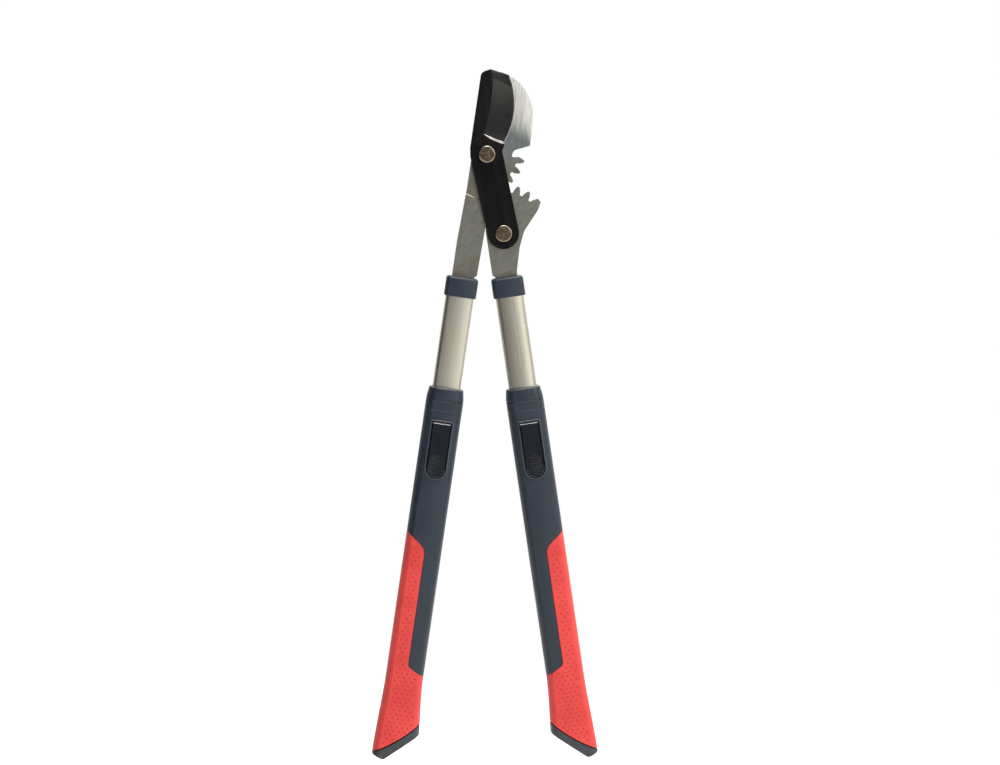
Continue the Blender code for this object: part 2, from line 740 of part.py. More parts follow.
def ring(low, high, facet, bow_ratio, height):
    """A section across a handle at this height: four flats joined by bowed corner facets.

    A facet is given by its width and depth, and stands out by bow_ratio times its length.
    """
    corners = []
    for sign_x, sign_y in ((1, -1), (1, 1), (-1, 1), (-1, -1)):
        edge_x = high[0] if sign_x > 0 else low[0]
        edge_y = high[1] if sign_y > 0 else low[1]
        beside_y = Vector((edge_x - sign_x * facet[0], edge_y))
        beside_x = Vector((edge_x, edge_y - sign_y * facet[1]))
        pair = (beside_y, beside_x) if sign_x * sign_y < 0 else (beside_x, beside_y)
        corners += arc(*pair, math.hypot(*facet) * bow_ratio, CORNER_STEPS)
    return [Vector((x, y, height)) for x, y in corners]


def oval(half_width, half_depth, height):
    """A section with the corner facets of the tube."""
    low, high = (-half_width, -half_depth), (half_width, half_depth)
    return ring(low, high, (TUBE_FACET_WIDTH, TUBE_FACET_DEPTH), TUBE_BOW_RATIO, height)


def tube_ring(growth, s):
    return oval(TUBE_WIDTH / 2 + growth, TUBE_DEPTH / 2 + growth, -s)


def strip(side, points, front, back):
    """A prism from (t, s) points along a handle."""
    return prism([(side * t, -s) for t, s in points], front, back)


def box(low, high):
    """A plain cutter between two corners."""
    (x0, y0, z0), (x1, y1, z1) = low, high
    return prism([(x0, z0), (x1, z0), (x1, z1), (x0, z1)], y0, y1)


def round_over(radius):
    """(distance along, inset) pairs of a rounded end edge, from the end face inwards."""
    pairs = []
    for step in range(EDGE_STEPS + 1):
        turn = math.pi / 2 * step / EDGE_STEPS
        pairs.append((radius * (1 - math.cos(turn)), radius * (1 - math.sin(turn))))
    return pairs


def smooth_step(value):
    value = min(1, max(0, value))
    return value * value * (3 - 2 * value)


def handle_ring(side, along, inset):
    """The housing's outer section at a distance below the mouth, shrunk by inset."""
    taper = smooth_step(along / MOUTH_RING_LENGTH)
    half = MOUTH_WIDTH / 2 + (HOUSING_WIDTH - MOUTH_WIDTH) / 2 * taper
    flare = smooth_step((along - FLARE_START) / (HANDLE_LENGTH - FLARE_START))
    outer = half + FLARE_OUT * flare - inset
    inner = half + FLARE_IN * flare - inset
    mouth_inset = (HOUSING_WIDTH - MOUTH_WIDTH) / 2 * (1 - taper)
    deeper = FLARE_DEPTH * flare - inset - mouth_inset / 2
    low_x, high_x = (-inner, outer) if side > 0 else (-outer, inner)
    low, high = (low_x, -HOUSING_FRONT - deeper), (high_x, HOUSING_BACK + deeper)
    return ring(low, high, (FACET_WIDTH, FACET_DEPTH), HOUSING_BOW_RATIO, -MOUTH - along)


def handle_body(side, start, stop, inset=0.0, seam=False):
    """The housing's outer form from start to stop below the mouth."""
    stations = {start: inset, stop: inset}
    if seam:
        stations[SEAM_AT - SEAM_WIDTH / 2] = inset
        stations[SEAM_AT] = inset + SEAM_DEPTH
        stations[SEAM_AT + SEAM_WIDTH / 2] = inset
    for step in range(FLARE_STEPS + 1):
        station = FLARE_START + FLARE_RISE * step / FLARE_STEPS
        if start < station < stop:
            stations[station] = inset
    return loft([handle_ring(side, along, stations[along]) for along in sorted(stations)])


def grip_region(growth):
    """The soft grip's outline as (t, s) points: along the handle's middle, and out to both edges."""
    beyond = HOUSING_WIDTH
    half = HOUSING_WIDTH / 2
    end = MOUTH + HANDLE_LENGTH
    line = GRIP_LINE - growth
    start = MOUTH + GRIP_START - growth
    top_slope = GRIP_KNEE_DROP / (half - GRIP_KNEE_OFFSET)
    foot = end - GRIP_FOOT_RISE - growth
    heel = end - GRIP_HEEL_RISE - growth
    foot_slope = (foot - heel) / (half - GRIP_HEEL_OFFSET)
    corners = [
        ((beyond, start - top_slope * (beyond - half)), 0),
        ((GRIP_KNEE_OFFSET, start + GRIP_KNEE_DROP), GRIP_TOP_ROUND),
        ((line, start + GRIP_LINE_DROP), GRIP_TOP_ROUND),
        ((line, end - GRIP_TURN_RISE - growth), GRIP_TURN_ROUND),
        ((-GRIP_HEEL_OFFSET, heel), GRIP_TOP_ROUND),
        ((-beyond, foot + foot_slope * (beyond - half)), 0),
        ((-beyond, end + beyond), 0),
        ((beyond, end + beyond), 0),
    ]
    return [tuple(point) for point in rounded(corners)]


def cap_seat(growth):
    """The line on which the end cap meets the handle, as (t, s) points from edge to edge."""
    end = MOUTH + HANDLE_LENGTH
    inner = (-HOUSING_WIDTH / 2 - FLARE_IN - CUT_ROOM, end - CAP_INNER_RISE + growth)
    outer = (HOUSING_WIDTH / 2 + FLARE_OUT + CUT_ROOM, end - CAP_OUTER_RISE + growth)
    return [tuple(point) for point in arc(inner, outer, -CAP_SEAT_BOW, 8)]


def below_seat():
    """Everything below the end cap's seat, as (t, s) points."""
    seat = cap_seat(0)
    deep = MOUTH + HANDLE_LENGTH + 2 * HOUSING_WIDTH
    return seat + [(seat[-1][0], deep), (seat[0][0], deep)]


def cap_region():
    """The end cap's own outline, as (t, s) points."""
    seat = cap_seat(SEAT_GAP)
    point = Vector((seat[-1][0] - CAP_POINT_INSET, MOUTH + HANDLE_LENGTH + CAP_POINT_DROP))
    heel_run = point.x - seat[0][0]
    toe = point + Vector((CAP_POINT_INSET, -CAP_POINT_INSET * math.tan(CAP_TOE_ANGLE)))
    heel = point + Vector((-heel_run, -heel_run * math.tan(CAP_HEEL_ANGLE)))
    return seat + [tuple(p) for p in rounded([(toe, 0), (point, CAP_POINT_ROUND), (heel, 0)])]


def stadium(half_width, top, bottom, top_round):
    """A slot outline as (t, s) points, square at the top and round at the bottom."""
    steps = 3 * FILLET_STEPS
    middle = Vector((0, bottom - half_width))
    round_end = [polar(middle, half_width, math.pi * step / steps) for step in range(steps + 1)]
    corners = [(Vector((-half_width, top)), top_round), (Vector((half_width, top)), top_round)]
    return [tuple(point) for point in rounded(corners + sharp(round_end))]


def button_pin(reach, radius):
    """A rod across the handle, on the line that the button rocks on."""
    shape = rod(Vector((0, 0)), radius, -reach, reach, PIN_SIDES)
    shape.data.transform(Matrix.Rotation(-math.pi / 2, 4, "Z"))
    shape.data.transform(Matrix.Translation((0, PIN_DEPTH, -MOUTH - PIN_AT)))
    return shape


def tang_slot(top, bottom):
    """A cutter that a tang fits through, between two distances down the axis."""
    half = TANG_WIDTH / 2 + SEAT_GAP
    depth = PLATE_BACK + SEAT_GAP
    return box((-half, -depth, -bottom), (half, depth, -top))


def rivet_hole():
    radius = TANG_RIVET_RADIUS + RUNNING_GAP
    return rod(Vector((0, -RIVET_AT)), radius, -TUBE_DEPTH, TUBE_DEPTH, PIN_SIDES)


def collar():
    half_width = TUBE_WIDTH / 2 + SLIDE_GAP + COLLAR_WALL
    half_depth = TUBE_DEPTH / 2 + SLIDE_GAP + COLLAR_WALL
    bottom = COLLAR_TOP + COLLAR_LENGTH
    stations = [(COLLAR_TOP + along, inset) for along, inset in round_over(COLLAR_TOP_ROUND)]
    stations += [(bottom - along, inset) for along, inset in round_over(COLLAR_EDGE_ROUND)[::-1]]
    shape = loft([oval(half_width - inset, half_depth - inset, -s) for s, inset in stations])
    bore = [tube_ring(SLIDE_GAP, s) for s in (COLLAR_TOP + COLLAR_ROOF, bottom + CUT_ROOM)]
    combine(shape, loft(bore))
    return combine(shape, tang_slot(COLLAR_TOP - CUT_ROOM, TUBE_TOP + CUT_ROOM))


def tube():
    shape = loft([tube_ring(0, TUBE_TOP), tube_ring(0, TUBE_END)])
    bore = loft([tube_ring(-TUBE_WALL, s) for s in (TUBE_TOP - CUT_ROOM, TUBE_END + CUT_ROOM)])
    combine(shape, bore)
    for index in range(LOCK_HOLES):
        at = MOUTH + FIRST_LOCK_HOLE + index * LOCK_PITCH
        hole = rod(Vector((0, -at)), LOCK_HOLE_RADIUS, -TUBE_DEPTH, 0, PIN_SIDES)
        combine(shape, hole)
    return combine(shape, rivet_hole())


def tang_insert():
    """The moulded filler that holds the tang in the middle of the tube."""
    inner = -TUBE_WALL - SEAT_GAP
    shape = loft([tube_ring(inner, TUBE_TOP), tube_ring(inner, TUBE_TOP + INSERT_LENGTH)])
    combine(shape, tang_slot(TUBE_TOP - CUT_ROOM, TANG_END + CUT_ROOM))
    return combine(shape, rivet_hole())


def tang_rivet():
    reach = TUBE_DEPTH / 2
    return rod(Vector((0, -RIVET_AT)), TANG_RIVET_RADIUS, -reach, reach, PIN_SIDES)


def tube_glide():
    """The plug that closes the tube's lower end and runs in the housing's bore."""
    plug = -TUBE_WALL - SEAT_GAP
    flange_top = TUBE_END + SEAT_GAP
    rings = [
        tube_ring(plug, TUBE_END - GLIDE_PLUG),
        tube_ring(plug, flange_top),
        tube_ring(GLIDE_LIP, flange_top),
        tube_ring(GLIDE_LIP, flange_top + GLIDE_FLANGE),
    ]
    return loft(rings)


def mouth_ring(side):
    stations = round_over(MOUTH_ROUND)
    stations += [(MOUTH_RING_LENGTH / 2, 0), (MOUTH_RING_LENGTH - SEAT_GAP, 0)]
    shape = loft([handle_ring(side, along, inset) for along, inset in stations])
    bore = [tube_ring(SLIDE_GAP, MOUTH + along) for along in (-CUT_ROOM, MOUTH_RING_LENGTH + CUT_ROOM)]
    return combine(shape, loft(bore))


def housing(side):
    """The moulded housing: bore, button pocket, seat for the soft grip and seat for the cap."""
    beyond = HANDLE_LENGTH + HOUSING_WIDTH
    shape = handle_body(side, MOUTH_RING_LENGTH, beyond, seam=True)
    rim_half = BUTTON_WIDTH / 2 + BUTTON_GAP
    pocket_top = MOUTH + BUTTON_TOP - BUTTON_GAP
    pocket_bottom = MOUTH + BUTTON_TOP + BUTTON_LENGTH + BUTTON_GAP
    rim = stadium(
        rim_half + RIM_WIDTH,
        pocket_top - RIM_WIDTH,
        pocket_bottom + RIM_WIDTH,
        BUTTON_TOP_ROUND + RIM_WIDTH,
    )
    combine(shape, strip(side, rim, -HOUSING_FRONT - RIM_HEIGHT, POCKET_BED), "UNION")
    pocket = stadium(rim_half, pocket_top, pocket_bottom, BUTTON_TOP_ROUND)
    combine(shape, strip(side, pocket, -2 * HOUSING_FRONT, POCKET_BED))
    tooth_at = MOUTH + FIRST_LOCK_HOLE
    window = TOOTH_RADIUS + TOOTH_WINDOW_GAP
    combine(shape, rod(Vector((0, -tooth_at)), window, -HOUSING_FRONT, 0, PIN_SIDES))
    combine(shape, button_pin(PIN_LENGTH / 2 + SEAT_GAP, PIN_RADIUS + RUNNING_GAP))

    bore = [tube_ring(SLIDE_GAP, MOUTH + along) for along in (0, BORE_END)]
    combine(shape, loft(bore))

    recess = strip(side, grip_region(SEAT_GAP), -2 * HOUSING_FRONT, 2 * HOUSING_BACK)
    combine(recess, handle_body(side, 0, 2 * beyond, GRIP_THICKNESS + SEAT_GAP))
    combine(shape, recess)
    return combine(shape, strip(side, below_seat(), -2 * HOUSING_FRONT, 2 * HOUSING_BACK))


def grip(side):
    """The soft grip: a skin on the housing's outer side and all round its flared end."""
    beyond = HANDLE_LENGTH + HOUSING_WIDTH
    shape = handle_body(side, GRIP_START - HOUSING_WIDTH, beyond)
    region = strip(side, grip_region(0), -2 * HOUSING_FRONT, 2 * HOUSING_BACK)
    combine(shape, region, "INTERSECT")
    combine(shape, handle_body(side, 0, 2 * beyond, GRIP_THICKNESS))
    return combine(shape, strip(side, below_seat(), -2 * HOUSING_FRONT, 2 * HOUSING_BACK))


def end_cap(side):
    shape = handle_body(side, FLARE_START, HANDLE_LENGTH + HOUSING_WIDTH)
    outline = strip(side, cap_region(), -2 * HOUSING_FRONT, 2 * HOUSING_BACK)
    return combine(shape, outline, "INTERSECT")


def button(side):
    """The rocker: a thumb plate over a bossed middle, with a lock tooth under its top end."""
    top = BUTTON_TOP
    bottom = BUTTON_TOP + BUTTON_LENGTH
    outline = stadium(BUTTON_WIDTH / 2, MOUTH + top, MOUTH + bottom, BUTTON_TOP_ROUND)
    shape = strip(side, outline, BUTTON_FACE - CUT_ROOM, 0)
    thin = BUTTON_FACE + BUTTON_PLATE
    deep = thin + BUTTON_BOSS
    profile = [
        (BUTTON_FACE, top - CUT_ROOM),
        (BUTTON_FACE, bottom + CUT_ROOM),
        (thin, bottom + CUT_ROOM),
        (deep, PIN_AT + BOSS_BELOW_PIN),
        (deep, FIRST_LOCK_HOLE - BOSS_ABOVE_TOOTH),
        (thin + BUTTON_NOSE, top - CUT_ROOM),
    ]
    half = BUTTON_WIDTH
    rings = [[Vector((x, y, -MOUTH - s)) for y, s in profile] for x in (-half, half)]
    combine(shape, loft(rings), "INTERSECT")
    tooth_end = -TUBE_DEPTH / 2 - SLIDE_GAP
    tooth_at = Vector((0, -MOUTH - FIRST_LOCK_HOLE))
    combine(shape, rod(tooth_at, TOOTH_RADIUS, thin, tooth_end, PIN_SIDES), "UNION")
    combine(shape, button_pin(half, PIN_RADIUS + RUNNING_GAP))
    socket_at = Vector((0, -MOUTH - SPRING_AT))
    socket_roof = BUTTON_FACE + SPRING_SOCKET_ROOF
    combine(shape, rod(socket_at, SPRING_RADIUS + SPRING_WIRE, socket_roof, 0, PIN_SIDES))
    pad_half = RIB_PAD_WIDTH / 2
    pad_bottom = bottom - RIB_PAD_MARGIN
    pad_top = pad_bottom - (RIB_COUNT + 0.5) * RIB_PITCH
    for index in range(RIB_COUNT):
        at = pad_bottom - (index + 0.75) * RIB_PITCH
        from_end = min(at - pad_top, pad_bottom - at)
        short = max(0, pad_half - from_end)
        reach = math.sqrt(pad_half ** 2 - short ** 2)
        low = (-reach, BUTTON_FACE - CUT_ROOM, -MOUTH - at - RIB_PITCH / 4)
        high = (reach, BUTTON_FACE + RIB_DEPTH, -MOUTH - at + RIB_PITCH / 4)
        combine(shape, box(low, high))
    return shape


def button_spring():
    """A short coil between the pocket's bed and the button's socket."""
    low = POCKET_BED - SEAT_GAP - SPRING_WIRE / 2
    high = BUTTON_FACE + SPRING_SOCKET_ROOF + SEAT_GAP + SPRING_WIRE / 2
    per_turn = 10
    total = SPRING_TURNS * per_turn
    rings = []
    for step in range(total + 1):
        angle = 2 * math.pi * step / per_turn
        depth = low + (high - low) * step / total
        out = Vector((math.cos(angle), 0, math.sin(angle)))
        middle = out * SPRING_RADIUS + Vector((0, depth, -MOUTH - SPRING_AT))
        circle = []
        for corner in range(5):
            turn = 2 * math.pi * corner / 5
            offset = out * math.cos(turn) + Vector((0, 1, 0)) * math.sin(turn)
            circle.append(middle + offset * SPRING_WIRE / 2)
        rings.append(circle)
    return loft(rings)


def build_handle(side, name, parent):
    """One handle with its tube. The tube side stays with the head, the rest slides on it."""
    lean = -side * HANDLE_TILT
    axis = frame(name + "_handle_axis", (side * AXIS_OFFSET, 0, 0), parent, lean)
    mouth = (0, 0, -MOUTH)
    collar_origin = (0, 0, -COLLAR_TOP)
    place(collar(), name + "_collar", "housing_plastic", axis, collar_origin)
    place(tube(), name + "_tube", "satin_aluminium", axis, (0, 0, -TUBE_TOP))
    place(tang_insert(), name + "_tang_insert", "filler_plastic", axis, (0, 0, -TUBE_TOP))
    place(tang_rivet(), name + "_tang_rivet", "zinc_steel", axis, (0, 0, -RIVET_AT))
    place(tube_glide(), name + "_tube_glide", "filler_plastic", axis, (0, 0, -TUBE_END))
    place(mouth_ring(side), name + "_mouth_ring", "housing_plastic", axis, mouth)
    place(housing(side), name + "_housing", "housing_plastic", axis, mouth)
    place(grip(side), name + "_grip", "grip_rubber", axis, mouth)
    place(end_cap(side), name + "_end_cap", "cap_plastic", axis, mouth)
    pin_place = (0, PIN_DEPTH, -MOUTH - PIN_AT)
    place(button(side), name + "_button", "button_plastic", axis, pin_place)
    pin = button_pin(PIN_LENGTH / 2, PIN_RADIUS)
    place(pin, name + "_button_pin", "zinc_steel", axis, pin_place)
    spring_place = (0, POCKET_BED, -MOUTH - SPRING_AT)
    place(button_spring(), name + "_button_spring", "zinc_steel", axis, spring_place)


def rivet_tang(shape, side):
    """Drills a tang for the rivet that holds it in its tube."""
    centre = on_handle(side, 0, RIVET_AT)
    hole = rod(centre, TANG_RIVET_RADIUS + RUNNING_GAP, -TUBE_DEPTH, TUBE_DEPTH, PIN_SIDES)
    return combine(shape, hole)


def build():
    for item in list(bpy.data.objects):
        bpy.data.objects.remove(item)
    tool = frame("lopper", (0, 0, 0))
    main, lower = in_depth(MAIN_PIVOT), in_depth(LOWER_PIVOT)
    place(blade_plate(), "blade_plate", "coated_steel", tool, main)
    place(rivet_tang(hook_plate(), -1), "hook_plate", "ground_steel", tool, main)
    place(rivet_tang(gear_plate(), +1), "gear_plate", "ground_steel", tool, lower)
    pivot_set("main", MAIN_PIVOT, tool)
    pivot_set("lower", LOWER_PIVOT, tool)
    build_handle(-1, "left", tool)
    build_handle(+1, "right", tool)


build()
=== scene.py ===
"""The telescopic lopper dressed for its picture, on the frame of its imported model.

Metres. X runs to the right, Z up, and the front of the tool faces -Y. Plates are drawn as (x, z)
outlines. A handle is drawn along its own axis: t is measured outwards from the axis, and s down it.
"""

import json
import math

import bmesh
import bpy
from mathutils import Matrix, Vector

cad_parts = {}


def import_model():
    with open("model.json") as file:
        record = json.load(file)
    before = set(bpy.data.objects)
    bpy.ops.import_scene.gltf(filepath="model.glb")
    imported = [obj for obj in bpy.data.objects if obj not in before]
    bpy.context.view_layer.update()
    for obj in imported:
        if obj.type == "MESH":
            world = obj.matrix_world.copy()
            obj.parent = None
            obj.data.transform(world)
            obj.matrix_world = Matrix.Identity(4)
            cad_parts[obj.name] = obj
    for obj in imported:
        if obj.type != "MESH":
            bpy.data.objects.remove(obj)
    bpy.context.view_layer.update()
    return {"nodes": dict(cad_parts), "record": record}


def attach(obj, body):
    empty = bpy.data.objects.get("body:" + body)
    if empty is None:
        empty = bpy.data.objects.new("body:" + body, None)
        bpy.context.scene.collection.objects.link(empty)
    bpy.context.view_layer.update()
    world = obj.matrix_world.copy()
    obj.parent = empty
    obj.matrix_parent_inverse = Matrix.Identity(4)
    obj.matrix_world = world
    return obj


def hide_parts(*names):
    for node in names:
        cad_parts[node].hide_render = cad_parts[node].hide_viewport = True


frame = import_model()

# Places of the head
MAIN_PIVOT = Vector((0.0018, 0.0954))
STRAP_LEAN = math.radians(11.9)
STRAP_AXIS = Vector((math.sin(STRAP_LEAN), -math.cos(STRAP_LEAN)))
STRAP_RIGHT = Vector((-STRAP_AXIS.y, STRAP_AXIS.x))
LOWER_PIVOT = MAIN_PIVOT + STRAP_AXIS * 0.0782
PLATE_BACK = 0.00225
TANG_FRONT = -0.00225
PLATE_FRONT = -0.00175
BLADE_BACK = -0.00205
BLADE_FRONT = -0.00605
SEAT_GAP = 0.0003
CUT_ROOM = 0.001

# Blade, measured from the main pivot
BLADE_LENGTH = 0.0817
EDGE_HEEL = Vector((0.0175, 0.0118))
EDGE_TOP = Vector((0.0226, 0.0757))
EDGE_BULGE = 0.0076
EDGE_THICKNESS = 0.0004
BLADE_TIP = Vector((0.0039, 0.0817))
SPINE_TOP = Vector((-0.0052, 0.0787))
SPINE_FOOT = Vector((-0.0160, 0.0059))
GRIND_FOOT = Vector((-0.0032, 0.0199))
GRIND_TOP = Vector((0.0057, 0.0730))
GRIND_BULGE = 0.0022
GRIND_HOLLOW = 0.00035
PLUNGE_BULGE = 0.0006
STEP_END = Vector((0.0173, 0.0097))
STEP_BULGE = 0.0017
PLUNGE_SINK = 0.0011
TIP_FACET_HEIGHT = 0.0631
MICRO_BEVEL = 0.0014
STRAP_WIDTH = 0.0302
SWELL_RADIUS = 0.0160

# Bolts
BOLT_HEAD_RADIUS = 0.0083
BOLT_HEAD_HEIGHT = 0.0026
BOLT_RADIUS = 0.0050
BOLT_END_DEPTH = 0.0126

# Step where the grinding of the hook plate ends on its tang
STEP_AT = 0.0415
STEP_ANGLE = math.radians(24.7)
STEP_SLOPE = 0.0009

# Line on the hook outside which its front slopes away
HOOK_LINE_FOOT = (0.0450, 0.0970)
HOOK_LINE_TOP = (0.0217, 0.1716)
HOOK_LINE_BULGE = 0.0040
HOOK_SLOPE_REACH = 0.0140
HOOK_SLOPE_DROP = 0.0016

# Handles
AXIS_OFFSET = 0.0179
HANDLE_TILT = math.radians(8.35)
COLLAR_TOP = 0.0235
COLLAR_LENGTH = 0.0195
COLLAR_WALL = 0.0015
COLLAR_ROOF = 0.0020
COLLAR_TOP_ROUND = 0.0030
COLLAR_EDGE_ROUND = 0.0006
TANG_WIDTH = 0.0208
TUBE_WIDTH = 0.0270
TUBE_DEPTH = 0.0170
TUBE_WALL = 0.0015
TUBE_FACET = (0.00375, 0.0055)
TUBE_BOW_RATIO = 0.20
TUBE_CROWN = 0.0007
TUBE_TOP = 0.0258
MOUTH = 0.1321
HANDLE_LENGTH = 0.3667
HANDLE_END = MOUTH + HANDLE_LENGTH
TUBE_END = MOUTH + 0.3220
LOCK_HOLES = 6
LOCK_HOLE_RADIUS = 0.0040
FIRST_LOCK_HOLE = 0.0400
TOOTH_PLACE = (0, -MOUTH - FIRST_LOCK_HOLE)
LOCK_PITCH = 0.0520
TOOTH_RADIUS = 0.0034
TOOTH_HOLE_RADIUS = 0.0041
RIVET_AT = 0.0355
RIVET_RADIUS = 0.0025
SLIDE_GAP = 0.0003
MOUTH_WIDTH = 0.0332
MOUTH_RING_LENGTH = 0.0122
MOUTH_ROUND = 0.0018
HOUSING_WIDTH = 0.0360
HOUSING_FRONT = 0.0155
HOUSING_BACK = 0.0135
HOUSING_FACET = (0.0065, 0.0100)
HOUSING_BOW_RATIO = 0.13
HOUSING_CROWN = 0.0007
CREASE_ROUND = 0.0006
CREASE_END = 0.0600
CREASE_FADE = 0.0800
CORNER_PULL = 0.43
SEAM_AT = 0.0218
SEAM_WIDTH = 0.0008
SEAM_DEPTH = 0.0002
JOINT_GROOVE = 0.0005
GROOVE_SLANT = 0.00002
FLARE_START = 0.2800
FLARE_OUT = 0.0027
FLARE_IN = 0.0050
FLARE_DEPTH = 0.0012
BORE_END = 0.3270

# Grips and end caps
GRIP_THICKNESS = 0.0022
GRIP_START = 0.1430
GRIP_KNEE = (0.0062, 0.0086)
GRIP_LINE = -0.0010
GRIP_LINE_DROP = 0.0152
GRIP_TOP_ROUND = 0.0100
GRIP_TURN_RISE = 0.0935
GRIP_TURN_ROUND = 0.0050
GRIP_HEEL_OFFSET = 0.0112
GRIP_HEEL_RISE = 0.0875
GRIP_FOOT_RISE = 0.0846
GRIP_EDGE = 0.0003
DIMPLE_RADIUS = 0.0009
DIMPLE_DEPTH = 0.0004
DIMPLE_PITCH = 0.0082
DIMPLE_COLUMN = 0.0054
DIMPLE_SHIFT = 0.0012
DIMPLE_SIDE_SHIFT = 0.001
CAP_INNER_RISE = 0.0422
CAP_OUTER_RISE = 0.0055
CAP_SEAT_BOW = 0.0028
CAP_GROOVE = 0.0015
CAP_GROOVE_DEPTH = 0.0008
CAP_POINT_INSET = 0.0115
CAP_POINT_DROP = 0.0009
CAP_POINT_ROUND = 0.0040
CAP_HEEL_ANGLE = math.radians(41.4)
CAP_TOE_ANGLE = math.radians(19)

# Buttons
BUTTON_TOP = 0.0335
BUTTON_LENGTH = 0.0534
BUTTON_WIDTH = 0.0176
BUTTON_FACE = -0.0165
BUTTON_PLATE = 0.0032
BUTTON_TOP_ROUND = 0.0010
BUTTON_CHAMFER = 0.0012
BUTTON_RIM = 0.0006
BUTTON_GAP = 0.0009
RIM_WIDTH = 0.0014
RIM_HEIGHT = 0.0008
RIM_GROOVE = 0.0005
RIM_ROUND = 0.0003
POCKET_BED = -0.0102
RIB_COUNT = 10
RIB_PITCH = 0.0020
RIB_DEPTH = 0.0006
RIB_ARCH = 0.0007
RIB_SHARE = 0.42
RIB_PAD_WIDTH = 0.0145
RIB_PAD_MARGIN = 0.0018

# Smoothness
ROUND_SIDES = 96
FILLET_STEPS = 10
CORNER_STEPS = 12
CROWN_STEPS = 6
EDGE_STEPS = 6
FLARE_STEPS = 16
LINE_STEPS = 16
ROUND_END_STEPS = 40
DIMPLE_SIDES = 12
BEVEL_SEGMENTS = 3
MERGE = 1e-6

# Camera: a little above the tool and left of it
CAMERA_TARGET = (0.0149, 0, -0.1261)
CAMERA_DISTANCE = 3.64
CAMERA_LENS = 135
CAMERA_TURN = math.radians(-3.5)
CAMERA_RISE = math.radians(5)
FLOOR_HEIGHT = -0.78
FLOOR_RADIUS = 2.2

SIDES = {"left": -1, "right": 1}
BODY_OF = {
    node: body
    for body, members in frame["record"]["behaviour"]["bodies"].items()
    for node in members
}
SLOT_OF = {part["node"]: part["material_slot"] for part in frame["record"]["subparts"]}


# Materials

class Nodes:
    """A node tree, with short calls for the nodes used here."""

    def __init__(self, tree):
        self.tree = tree

    def plug(self, socket, value):
        """Puts a number, a colour or another node's output on a socket."""
        if isinstance(value, bpy.types.NodeSocket):
            self.tree.links.new(value, socket)
        elif socket.type == "RGBA":
            socket.default_value = (*value, 1)
        else:
            socket.default_value = value

    def node(self, kind, inputs, **settings):
        made = self.tree.nodes.new(kind)
        for key, value in settings.items():
            setattr(made, key, value)
        for key, value in inputs.items():
            self.plug(made.inputs[key], value)
        return made.outputs[0]

    def split(self, vector):
        made = self.tree.nodes.new("ShaderNodeSeparateXYZ")
        self.plug(made.inputs[0], vector)
        return made.outputs

    def ramp(self, value, low, high, out_low=0.0, out_high=1.0):
        """The value's way from low to high, as an eased way from out_low to out_high."""
        limits = {"From Min": low, "From Max": high, "To Min": out_low, "To Max": out_high}
        inputs = {"Value": value, **limits}
        return self.node("ShaderNodeMapRange", inputs, interpolation_type="SMOOTHSTEP")


class Recipe(Nodes):
    """A material, with short calls for what the finishes use."""

    def __init__(self, name, roughness=0.5, metallic=0.0):
        self.material = bpy.data.materials.new(name)
        self.material.use_nodes = True
        super().__init__(self.material.node_tree)
        self.shader = self.tree.nodes["Principled BSDF"]
        self.set("Roughness", roughness)
        self.set("Metallic", metallic)
        self.normal = None

    def set(self, socket, value):
        self.plug(self.shader.inputs[socket], value)

    def place(self, stretch=(1, 1, 1), turn=0.0):
        """Coordinates of the resting tool, turned about Y and then stretched."""
        source = self.tree.nodes.new("ShaderNodeTexCoord").outputs["Object"]
        turned = self.node("ShaderNodeMapping", {"Vector": source, "Rotation": (0, turn, 0)})
        return self.node("ShaderNodeMapping", {"Vector": turned, "Scale": stretch})

    def noise(self, scale, stretch=(1, 1, 1), turn=0.0, detail=3.0, rough=0.55):
        where = self.place(stretch, turn)
        inputs = {"Vector": where, "Scale": scale, "Detail": detail, "Roughness": rough}
        return self.node("ShaderNodeTexNoise", inputs)

    def mix(self, share, first, second):
        made = self.tree.nodes.new("ShaderNodeMix")
        made.data_type = "RGBA"
        for index, value in ((0, share), (6, first), (7, second)):
            self.plug(made.inputs[index], value)
        return made.outputs[2]

    def tone(self, value, first, second, low=0.3, high=0.7, share=1.0):
        """The first colour, giving way to a share of the second as the value goes from low to high."""
        return self.mix(self.ramp(value, low, high, 0, share), first, second)

    def rough(self, value, low, high):
        self.set("Roughness", self.ramp(value, 0.3, 0.7, low, high))

    def height(self, turn=0.0):
        """Height above the crotch of the resting tool, or of the tool turned about Y."""
        return self.split(self.place(turn=turn))[2]

    def bump(self, height, distance, strength):
        inputs = {"Height": height, "Distance": distance, "Strength": strength}
        if self.normal:
            inputs["Normal"] = self.normal
        self.normal = self.node("ShaderNodeBump", inputs)
        self.set("Normal", self.normal)


def coated_steel():
    """Black coating with a faint grain and a few rubbed patches."""
    made = Recipe("coated_steel_finish")
    made.set("Specular IOR Level", 0.08)
    patches = made.noise(38, (3, 1, 0.5), STRAP_LEAN, detail=4)
    tone = made.tone(patches, (0.0032, 0.0035, 0.0042), (0.0085, 0.0068, 0.0061), 0.35, 0.7)
    made.set("Base Color", tone)
    made.rough(made.noise(90, detail=4), 0.30, 0.46)
    made.bump(made.noise(2600, detail=2), 0.00002, 0.5)
    return made.material


def coated_grind(name, dark, light, upper_tone):
    """Coating over a ground face: fine lines across the edge, and lighter towards the top."""
    made = Recipe(name)
    made.set("Specular IOR Level", 0.13)
    lines = made.noise(60, (1, 1, 22), math.radians(8), detail=5)
    tone = made.tone(lines, dark, light)
    made.set("Base Color", made.tone(made.height(), tone, upper_tone, 0.130, 0.170))
    made.rough(lines, 0.42, 0.58)
    made.bump(lines, 0.00003, 0.4)
    return made.material


